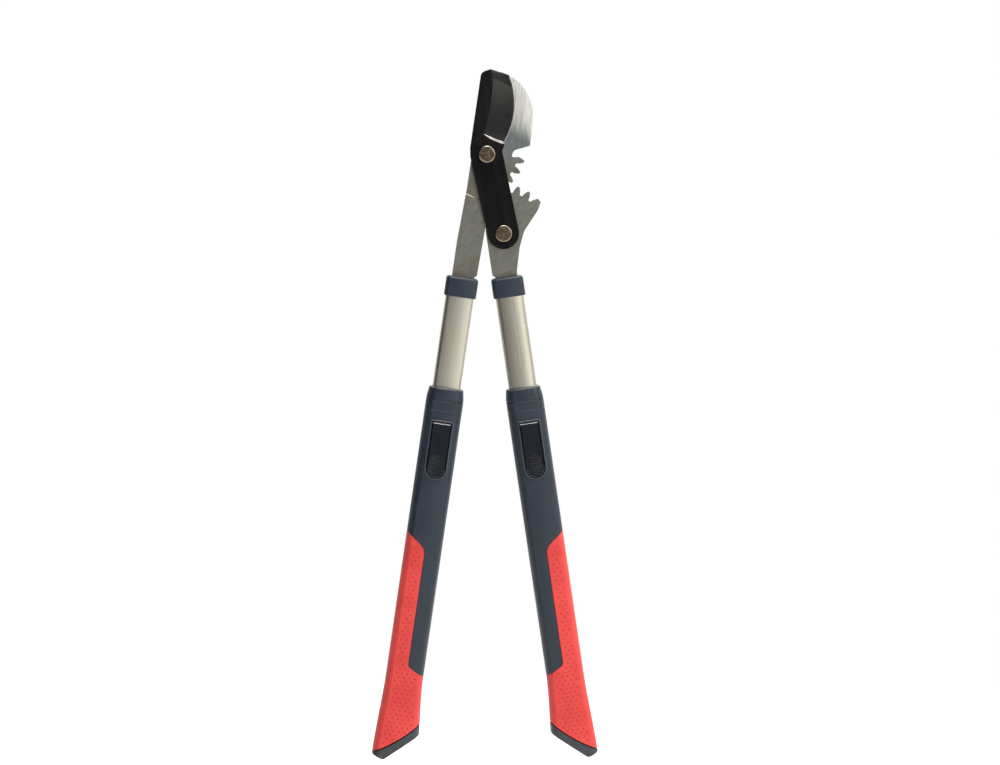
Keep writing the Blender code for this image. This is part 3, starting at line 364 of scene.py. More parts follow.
def bright_steel(name, dark, light, low, high):
    """Finely grained metal, from the painted highlight on the blade's step to the painted shade in the
    bores of the tubes.
    """
    made = Recipe(name, metallic=1.0)
    lines = made.noise(300, (1, 1, 6))
    made.set("Base Color", made.mix(lines, dark, light))
    made.rough(made.noise(500), low, high)
    return made.material


def ground_steel():
    """Bright lengthwise grinding on the hook, duller and browner on the tangs. Low on the hook a
    painted reflection turns it darker and grey-blue.
    """
    made = Recipe("ground_steel_finish", metallic=1.0)
    streaks = made.noise(70, (9, 1, 0.55), math.radians(-6), detail=6, rough=0.65)
    marks = made.noise(120, (1, 1, 7), math.radians(38), detail=4)
    clouds = made.noise(34)
    bright = made.tone(streaks, (0.44, 0.44, 0.413), (0.70, 0.685, 0.625), 0.32, 0.68)
    # Painted reflection: the hook turns darker and grey-blue towards its bottom.
    low = made.ramp(made.height(math.radians(-30)), 0.110, 0.130, 0.8, 0)
    bright = made.mix(low, bright, (0.10, 0.13, 0.14))
    dull = made.tone(marks, (0.185, 0.187, 0.160), (0.238, 0.240, 0.206), 0.35, 0.65)
    dull = made.tone(clouds, dull, (0.17, 0.13, 0.095), 0.46, 0.74, 0.75)
    made.set("Base Color", made.tone(made.height(), dull, bright, 0.075, 0.110))
    made.rough(streaks, 0.34, 0.46)
    made.bump(streaks, 0.00002, 0.5)
    made.bump(marks, 0.00002, 0.4)
    return made.material


def bronzed_steel():
    """The mottled brown face of a pivot bolt."""
    made = Recipe("bronzed_steel_finish", metallic=1.0)
    spots = made.noise(420, detail=5, rough=0.7)
    clouds = made.noise(150, detail=2)
    tone = made.tone(spots, (0.045, 0.033, 0.020), (0.165, 0.130, 0.088), 0.35, 0.65)
    tone = made.tone(clouds, tone, (0.10, 0.078, 0.054), 0.4, 0.7, 0.5)
    made.set("Base Color", tone)
    made.rough(spots, 0.36, 0.6)
    made.bump(spots, 0.00006, 0.6)
    return made.material


def zinc_steel():
    made = Recipe("zinc_steel_finish", metallic=1.0)
    grain = made.noise(350, detail=4)
    made.set("Base Color", made.mix(grain, (0.44, 0.44, 0.42), (0.64, 0.64, 0.62)))
    made.rough(grain, 0.28, 0.44)
    return made.material


def satin_aluminium(name, turn, dark, light, roughness):
    """Champagne anodising with a clear layer, over fine lines drawn along the tube."""
    made = Recipe(name, metallic=1.0)
    lines = made.noise(900, (1, 1, 0.02), turn, detail=4)
    soft = made.noise(30, (1, 1, 0.1), turn, detail=2)
    tone = made.tone(lines, dark, light)
    tone = made.tone(soft, tone, light, 0.35, 0.7, 0.3)
    made.set("Base Color", tone)
    made.rough(lines, roughness, roughness + 0.02)
    made.set("Coat Weight", 0.5)
    made.set("Coat Roughness", 0.13)
    made.bump(lines, 0.00001, 0.04)
    return made.material


def moulded_plastic(name, dark, light, roughness=0.45, shine=0.38):
    """Moulded plastic with the fine grain of an eroded mould."""
    made = Recipe(name)
    made.set("Specular IOR Level", shine)
    clouds = made.noise(45)
    made.set("Base Color", made.tone(clouds, dark, light))
    made.rough(clouds, roughness - 0.05, roughness + 0.06)
    made.bump(made.noise(2200, detail=2), 0.00004, 0.5)
    return made.material


def grip_rubber(name, dark, light):
    """Soft overmould with a matt skin."""
    made = Recipe(name)
    clouds = made.noise(40)
    made.set("Base Color", made.tone(clouds, dark, light))
    made.rough(clouds, 0.55, 0.68)
    made.set("Specular IOR Level", 0.35)
    made.set("Sheen Weight", 0.05)
    made.bump(made.noise(1800), 0.00005, 0.6)
    return made.material


COATED = coated_steel()
GRIND = coated_grind(
    "coated_grind_finish", (0.008, 0.0085, 0.0085), (0.014, 0.014, 0.0135), (0.037, 0.037, 0.033)
)
TIP_FACET = coated_grind(
    "tip_facet_finish", (0.008, 0.008, 0.008), (0.011, 0.011, 0.011), (0.012, 0.012, 0.012)
)
BLADE_STEP_HIGHLIGHT = bright_steel("blade_step_highlight_finish", (0.36, 0.31, 0.295), (0.48, 0.42, 0.40), 0.3, 0.42)
MICRO = bright_steel("micro_bevel_finish", (0.22, 0.22, 0.205), (0.32, 0.32, 0.30), 0.36, 0.46)
RIM = bright_steel("bolt_rim_finish", (0.22, 0.187, 0.136), (0.36, 0.31, 0.22), 0.24, 0.36)
GOLD_STEP_HIGHLIGHT = bright_steel("gold_step_highlight_finish", (0.62, 0.54, 0.36), (0.78, 0.70, 0.50), 0.3, 0.42)
SHADE_STEEL = bright_steel("painted_shade_steel_finish", (0.020, 0.020, 0.022), (0.035, 0.035, 0.036), 0.4, 0.5)
BORE_SHADE = bright_steel("tube_bore_shade_finish", (0.030, 0.029, 0.026), (0.050, 0.047, 0.042), 0.55, 0.65)
STEEL = ground_steel()
BRONZE = bronzed_steel()
ZINC = zinc_steel()
HOUSING = moulded_plastic(
    "housing_plastic_finish", (0.0105, 0.0175, 0.0285), (0.0135, 0.0220, 0.0350), shine=0.44
)
EDGE_HIGHLIGHT = moulded_plastic("painted_edge_highlight_finish", (0.040, 0.048, 0.060), (0.052, 0.061, 0.075), shine=0.6)
CHAMFER_HIGHLIGHT = moulded_plastic("button_chamfer_highlight_finish", (0.11, 0.11, 0.115), (0.15, 0.15, 0.157), 0.3, 0.6)
BUTTON = moulded_plastic(
    "button_plastic_finish", (0.0035, 0.0046, 0.0090), (0.0055, 0.0070, 0.0125), 0.34, 0.22
)
CAP = moulded_plastic("cap_plastic_finish", (0.032, 0.036, 0.041), (0.044, 0.049, 0.054), 0.5)
FILLER = moulded_plastic("filler_plastic_finish", (0.03, 0.03, 0.03), (0.05, 0.05, 0.05), 0.5)
RUBBER = grip_rubber("grip_rubber_finish", (0.58, 0.037, 0.032), (0.67, 0.054, 0.046))
DIMPLE_SHADE = grip_rubber("grip_dimple_shade_finish", (0.42, 0.027, 0.024), (0.47, 0.033, 0.029))
ALUMINIUM = {
    "left": satin_aluminium(
        "satin_aluminium_left", -HANDLE_TILT, (0.515, 0.485, 0.39), (0.56, 0.53, 0.43), 0.34
    ),
    "right": satin_aluminium(
        "satin_aluminium_right", HANDLE_TILT, (0.52, 0.485, 0.395), (0.555, 0.52, 0.425), 0.24
    ),
}


# Shapes

def arc(start, end, bulge, steps):
    """Points from start to end, with the middle standing out to the right of the way by bulge."""
    start, end = Vector(start), Vector(end)
    along = end - start
    right = Vector((along.y, -along.x)).normalized()
    radius = (along.length ** 2 / 4 + bulge ** 2) / (2 * bulge)
    centre = (start + end) / 2 + right * (bulge - radius)
    half = math.asin(along.length / 2 / abs(radius))
    points = []
    for step in range(steps + 1):
        turn = half * (2 * step / steps - 1)
        across = right * radius * math.cos(turn)
        points.append(centre + across + along.normalized() * abs(radius) * math.sin(turn))
    return points


def polar(centre, radius, angle):
    return Vector(centre) + Vector((math.cos(angle), math.sin(angle))) * radius


def circle(centre, radius, sides):
    return [polar(centre, radius, 2 * math.pi * side / sides) for side in range(sides)]


def half_round(centre, radius, start):
    steps = range(ROUND_END_STEPS + 1)
    return [polar(centre, radius, start + math.pi * step / ROUND_END_STEPS) for step in steps]


def sharp(points):
    """The points as corners that stay sharp."""
    return [(point, 0) for point in points]


def rounded(corners):
    """An outline through (point, radius) corners, each with a radius turned into an arc."""
    outline = []
    for index, (corner, radius) in enumerate(corners):
        corner = Vector(corner)
        if not radius:
            outline.append(corner)
            continue
        before = Vector(corners[index - 1][0]) - corner
        after = Vector(corners[(index + 1) % len(corners)][0]) - corner
        half = before.angle(after) / 2
        reach = min(radius / math.tan(half), min(before.length, after.length) * 0.48)
        middle = (before.normalized() + after.normalized()).normalized()
        centre = corner + middle * reach / math.cos(half)
        first = corner + before.normalized() * reach - centre
        last = corner + after.normalized() * reach - centre
        sweep = first.angle_signed(last)
        for step in range(FILLET_STEPS + 1):
            turned_arm = first.copy()
            turned_arm.rotate(Matrix.Rotation(-sweep * step / FILLET_STEPS, 2))
            outline.append(centre + turned_arm)
    return outline


def placed(name, data):
    made = bpy.data.objects.new(name, data)
    bpy.context.scene.collection.objects.link(made)
    return made


def solid(mesh):
    """An object that holds this mesh with its faces turned out."""
    bmesh.ops.recalc_face_normals(mesh, faces=mesh.faces)
    data = bpy.data.meshes.new("shape")
    mesh.to_mesh(data)
    mesh.free()
    return placed("shape", data)


def loft(rings, bands=None):
    """Rings of points joined in turn. bands gives the material of each band of faces."""
    mesh = bmesh.new()
    made = [[mesh.verts.new(point) for point in ring] for ring in rings]
    for band, (lower, upper) in enumerate(zip(made, made[1:])):
        for index in range(len(lower)):
            after = (index + 1) % len(lower)
            face = mesh.faces.new((lower[index], lower[after], upper[after], upper[index]))
            face.material_index = bands[band] if bands else 0
    mesh.faces.new(made[0])
    mesh.faces.new(reversed(made[-1]))
    return solid(mesh)


def level(outline, depth):
    """The (x, z) outline at this depth."""
    return [Vector((x, depth, z)) for x, z in outline]


def prism(outline, front, back):
    """A plate with this (x, z) outline between two depths."""
    return loft([level(outline, depth) for depth in (front, back)])


def turned(profile, centre, sides=ROUND_SIDES, bands=None):
    """A shape turned about the line along Y through centre, from (radius, y) points."""
    return loft([level(circle(centre, radius, sides), depth) for radius, depth in profile], bands)


def rod(centre, radius, front, back):
    return turned([(radius, front), (radius, back)], centre, ROUND_SIDES // 2)


def combine(shape, tool, operation="DIFFERENCE"):
    """Applies a Boolean of tool to shape and removes tool."""
    modifier = shape.modifiers.new("combine", "BOOLEAN")
    modifier.operation = operation
    modifier.solver = "EXACT"
    modifier.object = tool
    graph = bpy.context.evaluated_depsgraph_get()
    result = bpy.data.meshes.new_from_object(shape.evaluated_get(graph))
    shape.modifiers.clear()
    shape.data = result
    bpy.data.objects.remove(tool)
    return shape


def soften(shape, width, angle, harden=True, clamp=False):
    """Rounds edges that turn by more than the angle. clamp keeps needles off very sharp corners."""
    bevel = shape.modifiers.new("edges", "BEVEL")
    bevel.width = width
    bevel.segments = BEVEL_SEGMENTS
    bevel.limit_method = "ANGLE"
    bevel.angle_limit = math.radians(angle)
    bevel.harden_normals = harden
    bevel.use_clamp_overlap = clamp


def dress(shape, node, *materials, edge=0.0, angle=30, clamp=False):
    """Gives the shape its looks and lets it stand for a node of the model."""
    shape.name = node + "_look"
    shape.data.name = shape.name
    slots = shape.data.materials
    for index, material in enumerate(materials):
        if index < len(slots):
            slots[index] = material
        else:
            slots.append(material)
    shape.data.shade_smooth()
    if edge:
        soften(shape, edge, angle, clamp=clamp)
    else:
        shape.data.set_sharp_from_angle(angle=math.radians(angle))
        shape.modifiers.new("normals", "WEIGHTED_NORMAL").keep_sharp = True
    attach(shape, BODY_OF[node])
    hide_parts(node)


def node_mesh(node):
    mesh = bmesh.new()
    mesh.from_mesh(frame["nodes"][node].data)
    bmesh.ops.remove_doubles(mesh, verts=mesh.verts, dist=MERGE)
    return mesh


def softened_node(node, material, edge):
    """The node's own surface with its flat faces made whole and its edges rounded."""
    mesh = node_mesh(node)
    flat = math.radians(0.5)
    bmesh.ops.dissolve_limit(mesh, angle_limit=flat, verts=mesh.verts, edges=mesh.edges)
    for face in mesh.faces:
        face.material_index = 0
    dress(solid(mesh), node, material, edge=edge)


# Plates

def node_outline(node, depth):
    """The node's longest outline on a flat face at this depth, as (x, z) points."""
    mesh = node_mesh(node)

    def on_face(face):
        return all(abs(vert.co.y - depth) < 1e-5 for vert in face.verts)

    following = {}
    for edge in mesh.edges:
        flat = [face for face in edge.link_faces if on_face(face)]
        if len(flat) == 1:
            for vert, other in (edge.verts, reversed(edge.verts)):
                following.setdefault(vert, []).append(other)
    loops = []
    while following:
        loop = [next(iter(following))]
        while True:
            ways = [vert for vert in following.pop(loop[-1]) if vert in following]
            if not ways:
                break
            loop.append(ways[0])
        loops.append([Vector((vert.co.x, vert.co.z)) for vert in loop])
    mesh.free()

    def length(loop):
        return sum((a - b).length for a, b in zip(loop, loop[1:]))

    outline = max(loops, key=length)
    return outline if area(outline) > 0 else outline[::-1]


def area(outline):
    pairs = zip(outline, outline[1:] + outline[:1])
    return sum(a.x * b.y - b.x * a.y for a, b in pairs) / 2


def turns_of(outline):
    """The angle by which the closed outline turns at each of its points."""
    turns = []
    for index, point in enumerate(outline):
        before = point - outline[index - 1]
        after = outline[(index + 1) % len(outline)] - point
        turns.append(-before.angle_signed(after))
    return turns


def straightened(outline):
    """The outline without the points that lie on a straight run."""
    least = math.radians(0.2)
    return [point for point, turn in zip(outline, turns_of(outline)) if abs(turn) > least]


def refined(outline):
    """The outline with the middle of each side of a curve set on its arc."""
    turns = turns_of(outline)
    curved, longest = math.radians(26), 0.008
    result = []
    for index, point in enumerate(outline):
        after = (index + 1) % len(outline)
        result.append(point)
        side = outline[after] - point
        both = (turns[index], turns[after])
        same_way = both[0] * both[1] > 0
        if same_way and max(map(abs, both)) < curved and side.length < longest:
            turn = min(both, key=abs)
            out = Vector((side.y, -side.x)) * math.tan(turn / 4) / 2
            result.append(point + side / 2 + out)
    return result


def plate_outline(node):
    outline = straightened(node_outline(node, PLATE_BACK))
    for _ in range(2):
        outline = refined(outline)
    return outline


def drill(shape, pivot):
    combine(shape, rod(pivot, BOLT_RADIUS + SEAT_GAP, 2 * TANG_FRONT, 2 * PLATE_BACK))


def hook_slope():
    """A wedge that thins the hook outside a curved line down its front."""
    line = arc(HOOK_LINE_FOOT, HOOK_LINE_TOP, HOOK_LINE_BULGE, LINE_STEPS)
    rings = []
    for index, point in enumerate(line):
        way = line[min(index + 1, LINE_STEPS)] - line[max(index - 1, 0)]
        far = point + Vector((way.y, -way.x)).normalized() * HOOK_SLOPE_REACH
        section = (
            (point, PLATE_FRONT),
            (far, PLATE_FRONT + HOOK_SLOPE_DROP),
            (far, 2 * TANG_FRONT),
            (point, 2 * TANG_FRONT),
        )
        rings.append([Vector((place.x, depth, place.y)) for place, depth in section])
    return loft(rings)


def hook_plate():
    """Hook and left tang, with the relief whose sloping step crosses the tang, the step painted with a
    gold highlight.
    """
    shape = prism(plate_outline("hook_plate"), TANG_FRONT, PLATE_BACK)
    beside_strap = STRAP_WIDTH / 2 + 2 * SEAT_GAP
    step_right = MAIN_PIVOT + STRAP_AXIS * STEP_AT - STRAP_RIGHT * beside_strap
    step_left = polar(step_right, 2 * TANG_WIDTH, math.pi - STEP_ANGLE)
    low = LOWER_PIVOT + STRAP_AXIS * 2 * STRAP_WIDTH - STRAP_RIGHT * beside_strap
    high = MAIN_PIVOT.y + 2 * BLADE_LENGTH
    far = MAIN_PIVOT.x + BLADE_LENGTH

    def relief(drop):
        moved = STRAP_AXIS * drop
        right, left = step_right + moved, step_left + moved
        return [left, right, low, (far, low.y), (far, high), (left.x, high)]

    depths = ((2 * TANG_FRONT, STEP_SLOPE), (TANG_FRONT, STEP_SLOPE), (PLATE_FRONT, 0))
    rings = [level(relief(drop), depth) for depth, drop in depths]
    combine(shape, loft(rings))
    # The step's sloping faces take a painted gold highlight.
    for face in shape.data.polygons:
        above = face.center.z > LOWER_PIVOT.y
        if above and -0.97 < face.normal.y < -0.2 and face.center.y > TANG_FRONT:
            face.material_index = 1
    combine(shape, hook_slope())
    drill(shape, MAIN_PIVOT)
    dress(shape, "hook_plate", STEEL, GOLD_STEP_HIGHLIGHT, edge=0.0004, clamp=True)


def gear_plate():
    shape = prism(plate_outline("gear_plate"), PLATE_FRONT, PLATE_BACK)
    drill(shape, LOWER_PIVOT)
    dress(shape, "gear_plate", STEEL, edge=0.0004)


def blade_plate():
    """The blade: flat coated side, hollow grind, step painted with a highlight, tip facet and fine
    cutting edge.
    """
    plunge_steps, grind_steps, crown_steps = 20, 44, 8
    origin = MAIN_PIVOT
    edge = arc(origin + EDGE_HEEL, origin + EDGE_TOP, EDGE_BULGE, plunge_steps + grind_steps)
    tip = origin + BLADE_TIP
    crown = [edge[-1].lerp(tip, (step + 1) / crown_steps) for step in range(crown_steps)]
    rim = edge + crown
    facet_from = next(i for i, point in enumerate(rim) if point.y > origin.y + TIP_FACET_HEIGHT)

    foot, top = origin + GRIND_FOOT, origin + GRIND_TOP
    line = arc(edge[0], foot, -PLUNGE_BULGE, plunge_steps)
    line += arc(foot, top, GRIND_BULGE, facet_from - plunge_steps)[1:]
    to_tip = len(rim) - 1 - facet_from
    line += [top.lerp(tip, (step + 1) / to_tip) for step in range(to_tip)]

    below = arc(origin + STEP_END, foot, -STEP_BULGE, plunge_steps)
    strap_half = STRAP_WIDTH / 2
    lean = math.pi + STRAP_LEAN
    round_end = half_round(LOWER_PIVOT, strap_half, lean)
    corners = [
        (tip, 0),
        (origin + SPINE_TOP, 0.006),
        (origin + SPINE_FOOT, 0.012),
        (polar(origin, SWELL_RADIUS, lean), 0.012),
        *sharp(round_end),
        (origin + STRAP_RIGHT * strap_half, 0.004),
        (below[0], 0),
        (edge[0], 0),
    ]
    rest = rounded(corners)[1:-1]

    mesh = bmesh.new()

    def row(points, depth):
        return [mesh.verts.new((point.x, depth(i), point.y)) for i, point in enumerate(points)]

    thin = BLADE_BACK - EDGE_THICKNESS
    last = len(rim) - 1

    def line_depth(index):
        """Depth of the grind's inner border: sunk below the coated side along the step."""
        if index >= plunge_steps:
            return BLADE_FRONT
        share = index / plunge_steps
        fall = (thin - BLADE_FRONT) * (1 - share) ** 8
        return BLADE_FRONT + PLUNGE_SINK * math.sin(math.pi * share) + fall

    inner = row(line, line_depth)
    rows = [inner]
    for share in (0.2, 0.4, 0.6, 0.8):
        sag = GRIND_HOLLOW * math.sin(math.pi * share)
        points = [a.lerp(b, share) for a, b in zip(line, rim)]
        rows.append(row(points, lambda i: line_depth(i) + (thin - line_depth(i)) * share + sag))
    micro_points = []
    for index, point in enumerate(rim):
        way = line[index] - point
        micro_points.append(point + way.normalized() * min(MICRO_BEVEL, way.length / 2))
    rows.append(row(micro_points, lambda index: thin - EDGE_THICKNESS if index else thin))
    rim_row = row(rim, lambda index: thin)
    rows.append(rim_row)
    for number, (near, far) in enumerate(zip(rows, rows[1:])):
        for index in range(last):
            face = mesh.faces.new((near[index], far[index], far[index + 1], near[index + 1]))
            if number == len(rows) - 2 and index < len(edge) - 1:
                face.material_index = 4
            elif index >= facet_from:
                face.material_index = 2
            else:
                face.material_index = 1
    # The step's faces take a painted highlight.
    low = row(below, lambda index: BLADE_FRONT)
    low[-1] = inner[plunge_steps]
    for index in range(plunge_steps):
        corners = (low[index], inner[index], inner[index + 1], low[index + 1])
        mesh.faces.new(dict.fromkeys(corners)).material_index = 3

    outer = rim + rest
    back_verts = row(outer, lambda index: BLADE_BACK)
    rest_verts = row(rest, lambda index: BLADE_FRONT)
    front_verts = rim_row + rest_verts
    count = len(outer)
    for index in range(count):
        after = (index + 1) % count
        corners = (front_verts[index], front_verts[after], back_verts[after], back_verts[index])
        mesh.faces.new(corners)
    mesh.faces.new(back_verts)
    mesh.faces.new([points[-1] for points in rows] + [rest_verts[0]])
    mesh.faces.new(low + inner[plunge_steps + 1 :] + rest_verts[:-1])
    bmesh.ops.remove_doubles(mesh, verts=mesh.verts, dist=MERGE)
    shape = solid(mesh)
    for pivot in (MAIN_PIVOT, LOWER_PIVOT):
        combine(shape, rod(pivot, BOLT_RADIUS, 2 * BLADE_FRONT, 0))
    materials = (COATED, GRIND, TIP_FACET, BLADE_STEP_HIGHLIGHT, MICRO)
    dress(shape, "blade_plate", *materials, edge=0.00035, angle=42, clamp=True)


def pivot_bolt(prefix, centre):
    """A round-headed bolt with a slightly domed face inside a bright rim."""
    seat = BLADE_FRONT - SEAT_GAP
    face = seat - BOLT_HEAD_HEIGHT
    radius = BOLT_HEAD_RADIUS
    profile = [
        (0.0004, face - 0.00012),
        (0.35 * radius, face - 0.0001),
        (0.65 * radius, face - 0.00002),
        (radius - 0.0015, face + 0.0001),
        (radius - 0.0012, face + 0.00006),
        (radius - 0.0006, face + 0.0003),
        (radius - 0.0002, face + 0.0008),
        (radius, face + 0.0014),
        (radius, seat),
        (BOLT_RADIUS, seat),
        (BOLT_RADIUS, BOLT_END_DEPTH - 0.0007),
        (BOLT_RADIUS - 0.0003, BOLT_END_DEPTH - 0.0002),
        (BOLT_RADIUS - 0.0008, BOLT_END_DEPTH),
    ]
    shape = turned(profile, centre, bands=[0] * 4 + [1] * 3 + [0] * 5)
    dress(shape, prefix + "_pivot_bolt", BRONZE, RIM, edge=0.0001, angle=40)


# Handles

def ring(low, high, facet, bow_ratio, height, crown, crease=0.0, soft=0.0):
    """A section across a handle: four sides joined by corner facets that bow outwards.

    The front and the back stand out by crown in their middle, and crease rounds the edge between
    them and a facet. soft is the share by which a facet gives way to a smooth curve.
    """
    corners = []
    for sign_x, sign_y in ((1, -1), (1, 1), (-1, 1), (-1, -1)):
        edge_x = high[0] if sign_x > 0 else low[0]
        edge_y = high[1] if sign_y > 0 else low[1]
        beside_y = Vector((edge_x - sign_x * facet[0], edge_y - sign_y * crown))
        beside_x = Vector((edge_x, edge_y - sign_y * facet[1]))
        pair = (beside_y, beside_x) if sign_x * sign_y < 0 else (beside_x, beside_y)
        facet_arc = arc(*pair, math.hypot(*facet) * bow_ratio, CORNER_STEPS)
        towards = Vector((edge_x, edge_y))
        section = []
        for step, point in enumerate(facet_arc):
            section.append(point.lerp(curve(*pair, towards, step / CORNER_STEPS), soft))
        if crease:
            inner = beside_y - Vector((sign_x * crease, 0))
            if sign_x * sign_y < 0:
                section[0] = section[0].lerp(section[1], 0.5)
                section.insert(0, inner)
            else:
                section[-1] = section[-1].lerp(section[-2], 0.5)
                section.append(inner)
        corners += section
        if sign_x * sign_y > 0:
            other = low[0] + facet[0] if sign_x > 0 else high[0] - facet[0]
            across = Vector((other + sign_x * crease, beside_y.y))
            corners += arc(section[-1], across, crown, CROWN_STEPS)[1:-1]
    return [Vector((x, y, height)) for x, y in corners]


def curve(start, end, corner, share):
    """The point at this share of a curve that leaves start and meets end pointing at corner."""
    first = start.lerp(corner, CORNER_PULL)
    last = end.lerp(corner, CORNER_PULL)
    rest = 1 - share
    ends = start * rest ** 3 + end * share ** 3
    return ends + first * 3 * share * rest ** 2 + last * 3 * share ** 2 * rest


def oval(half_width, half_depth, height):
    low, high = (-half_width, -half_depth), (half_width, half_depth)
    return ring(low, high, TUBE_FACET, TUBE_BOW_RATIO, height, TUBE_CROWN)


def tube_form(growth, top, bottom, bands=None):
    """The tube's outer form between two places down the handle, grown all round."""
    half_width, half_depth = TUBE_WIDTH / 2 + growth, TUBE_DEPTH / 2 + growth
    return loft([oval(half_width, half_depth, -s) for s in (top, bottom)], bands)


def strip(side, points, front=-2 * HOUSING_FRONT, back=2 * HOUSING_BACK):
    """A prism from (t, s) points along a handle, right through it unless two depths are given."""
    return prism([(side * t, -s) for t, s in points], front, back)


def round_over(radius):
    """(distance along, inset) pairs of a rounded end edge, from the end face inwards."""
    pairs = []
    for step in range(EDGE_STEPS + 1):
        turn = math.pi / 2 * step / EDGE_STEPS
        pairs.append((radius * (1 - math.cos(turn)), radius * (1 - math.sin(turn))))
    return pairs


def smooth_step(value):
    value = min(1, max(0, value))
    return value * value * (3 - 2 * value)


def flare_at(along):
    return smooth_step((along - FLARE_START) / (HANDLE_LENGTH - FLARE_START))


def handle_ring(side, along, inset):
    """The housing's outer section at a distance below the mouth, shrunk by inset."""
    taper = smooth_step(along / MOUTH_RING_LENGTH)
    half = MOUTH_WIDTH / 2 + (HOUSING_WIDTH - MOUTH_WIDTH) / 2 * taper
    flare = flare_at(along)
    outer = half + FLARE_OUT * flare - inset
    inner = half + FLARE_IN * flare - inset
    mouth_inset = (HOUSING_WIDTH - MOUTH_WIDTH) / 2 * (1 - taper)
    deeper = FLARE_DEPTH * flare - inset - mouth_inset / 2
    low_x, high_x = (-inner, outer) if side > 0 else (-outer, inner)
    low, high = (low_x, -HOUSING_FRONT - deeper), (high_x, HOUSING_BACK + deeper)
    soft = smooth_step((along - CREASE_END) / CREASE_FADE)
    shape = (HOUSING_FACET, HOUSING_BOW_RATIO, -MOUTH - along, HOUSING_CROWN, CREASE_ROUND, soft)
    return ring(low, high, *shape)


def handle_body(side, start, stop, inset=0.0, seam=False, cells=1):
    """The housing's outer form from start to stop below the mouth, cut into cells above the flare."""
    stations = {start: inset, stop: inset}
    if seam:
        stations[start] = inset + JOINT_GROOVE
        stations[start + JOINT_GROOVE] = inset
        for part in range(9):
            across = 2 * part / 8 - 1
            depth = SEAM_DEPTH * math.cos(math.pi / 2 * across)
            stations[SEAM_AT + SEAM_WIDTH / 2 * across] = inset + depth
    for step in range(FLARE_STEPS + 1):
        station = FLARE_START + (HANDLE_LENGTH - FLARE_START) * step / FLARE_STEPS
        if start < station < stop:
            stations[station] = inset
    for step in range(1, cells):
        stations[start + (FLARE_START - start) * step / cells] = inset
    return loft([handle_ring(side, along, stations[along]) for along in sorted(stations)])


def grip_region(growth):
    """The soft grip's outline as (t, s) points: along the handle's middle, and out to both edges."""
    beyond = HOUSING_WIDTH
    half = HOUSING_WIDTH / 2
    end = HANDLE_END
    line = GRIP_LINE - growth
    start = MOUTH + GRIP_START - growth
    top_slope = GRIP_KNEE[1] / (half - GRIP_KNEE[0])
    foot = end - GRIP_FOOT_RISE - growth
    heel = end - GRIP_HEEL_RISE - growth
    foot_slope = (foot - heel) / (half - GRIP_HEEL_OFFSET)
    corners = [
        ((beyond, start - top_slope * (beyond - half)), 0),
        ((GRIP_KNEE[0], start + GRIP_KNEE[1]), GRIP_TOP_ROUND),
        ((line, start + GRIP_LINE_DROP), GRIP_TOP_ROUND),
        ((line, end - GRIP_TURN_RISE - growth), GRIP_TURN_ROUND),
        ((-GRIP_HEEL_OFFSET, heel), GRIP_TOP_ROUND),
        ((-beyond, foot + foot_slope * (beyond - half)), 0),
        ((-beyond, end + beyond), 0),
        ((beyond, end + beyond), 0),
    ]
    return rounded(corners)


def cap_seat(growth):
    """The line on which the end cap meets the handle, as (t, s) points from edge to edge."""
    inner = (-HOUSING_WIDTH / 2 - FLARE_IN - CUT_ROOM, HANDLE_END - CAP_INNER_RISE + growth)
    outer = (HOUSING_WIDTH / 2 + FLARE_OUT + CUT_ROOM, HANDLE_END - CAP_OUTER_RISE + growth)
    return arc(inner, outer, -CAP_SEAT_BOW, 2 * LINE_STEPS)


def below_seat(growth=0.0):
    """Everything below the end cap's seat, as (t, s) points."""
    seat = cap_seat(growth)
    deep = HANDLE_END + 2 * HOUSING_WIDTH
    return seat + [(seat[-1][0], deep), (seat[0][0], deep)]


def cap_region():
    """The end cap's own outline, as (t, s) points."""
    seat = cap_seat(CAP_GROOVE)
    point = Vector((seat[-1][0] - CAP_POINT_INSET, HANDLE_END + CAP_POINT_DROP))
    heel_run = point.x - seat[0][0]
    toe = point + Vector((CAP_POINT_INSET, -CAP_POINT_INSET * math.tan(CAP_TOE_ANGLE)))
    heel = point + Vector((-heel_run, -heel_run * math.tan(CAP_HEEL_ANGLE)))
    return seat + rounded([(toe, 0), (point, CAP_POINT_ROUND), (heel, 0)])


def stadium(half_width, top, bottom, top_round):
    """A slot outline as (t, s) points, square at the top and round at the bottom."""
    round_end = half_round((0, bottom - half_width), half_width, 0)
    corners = [((-half_width, top), top_round), ((half_width, top), top_round)]
    return rounded(corners + sharp(round_end))


def around_button(side, gap, sections, bands=None):
    """A form with the button's outline, grown by the gap and by each (growth, depth) section."""
    rings = []
    for growth, depth in sections:
        room = gap + growth
        top = MOUTH + BUTTON_TOP - room
        bottom = MOUTH + BUTTON_TOP + BUTTON_LENGTH + room
        outline = stadium(BUTTON_WIDTH / 2 + room, top, bottom, BUTTON_TOP_ROUND + growth)
        rings.append(level([(side * t, -s) for t, s in outline], depth))
    return loft(rings, bands)


def collar():
    half_width = TUBE_WIDTH / 2 + SLIDE_GAP + COLLAR_WALL
    half_depth = TUBE_DEPTH / 2 + SLIDE_GAP + COLLAR_WALL
    bottom = COLLAR_TOP + COLLAR_LENGTH
    stations = [(COLLAR_TOP + along, inset) for along, inset in round_over(COLLAR_TOP_ROUND)]
    stations += [(bottom - along, inset) for along, inset in round_over(COLLAR_EDGE_ROUND)[::-1]]
    shape = loft([oval(half_width - inset, half_depth - inset, -s) for s, inset in stations])
    combine(shape, tube_form(SLIDE_GAP, COLLAR_TOP + COLLAR_ROOF, bottom + CUT_ROOM))
    half = TANG_WIDTH / 2 + SEAT_GAP
    depth = PLATE_BACK + SEAT_GAP
    above = COLLAR_TOP - CUT_ROOM
    slot = [(-half, above), (half, above), (half, TUBE_TOP), (-half, TUBE_TOP)]
    return combine(shape, strip(1, slot, -depth, depth))


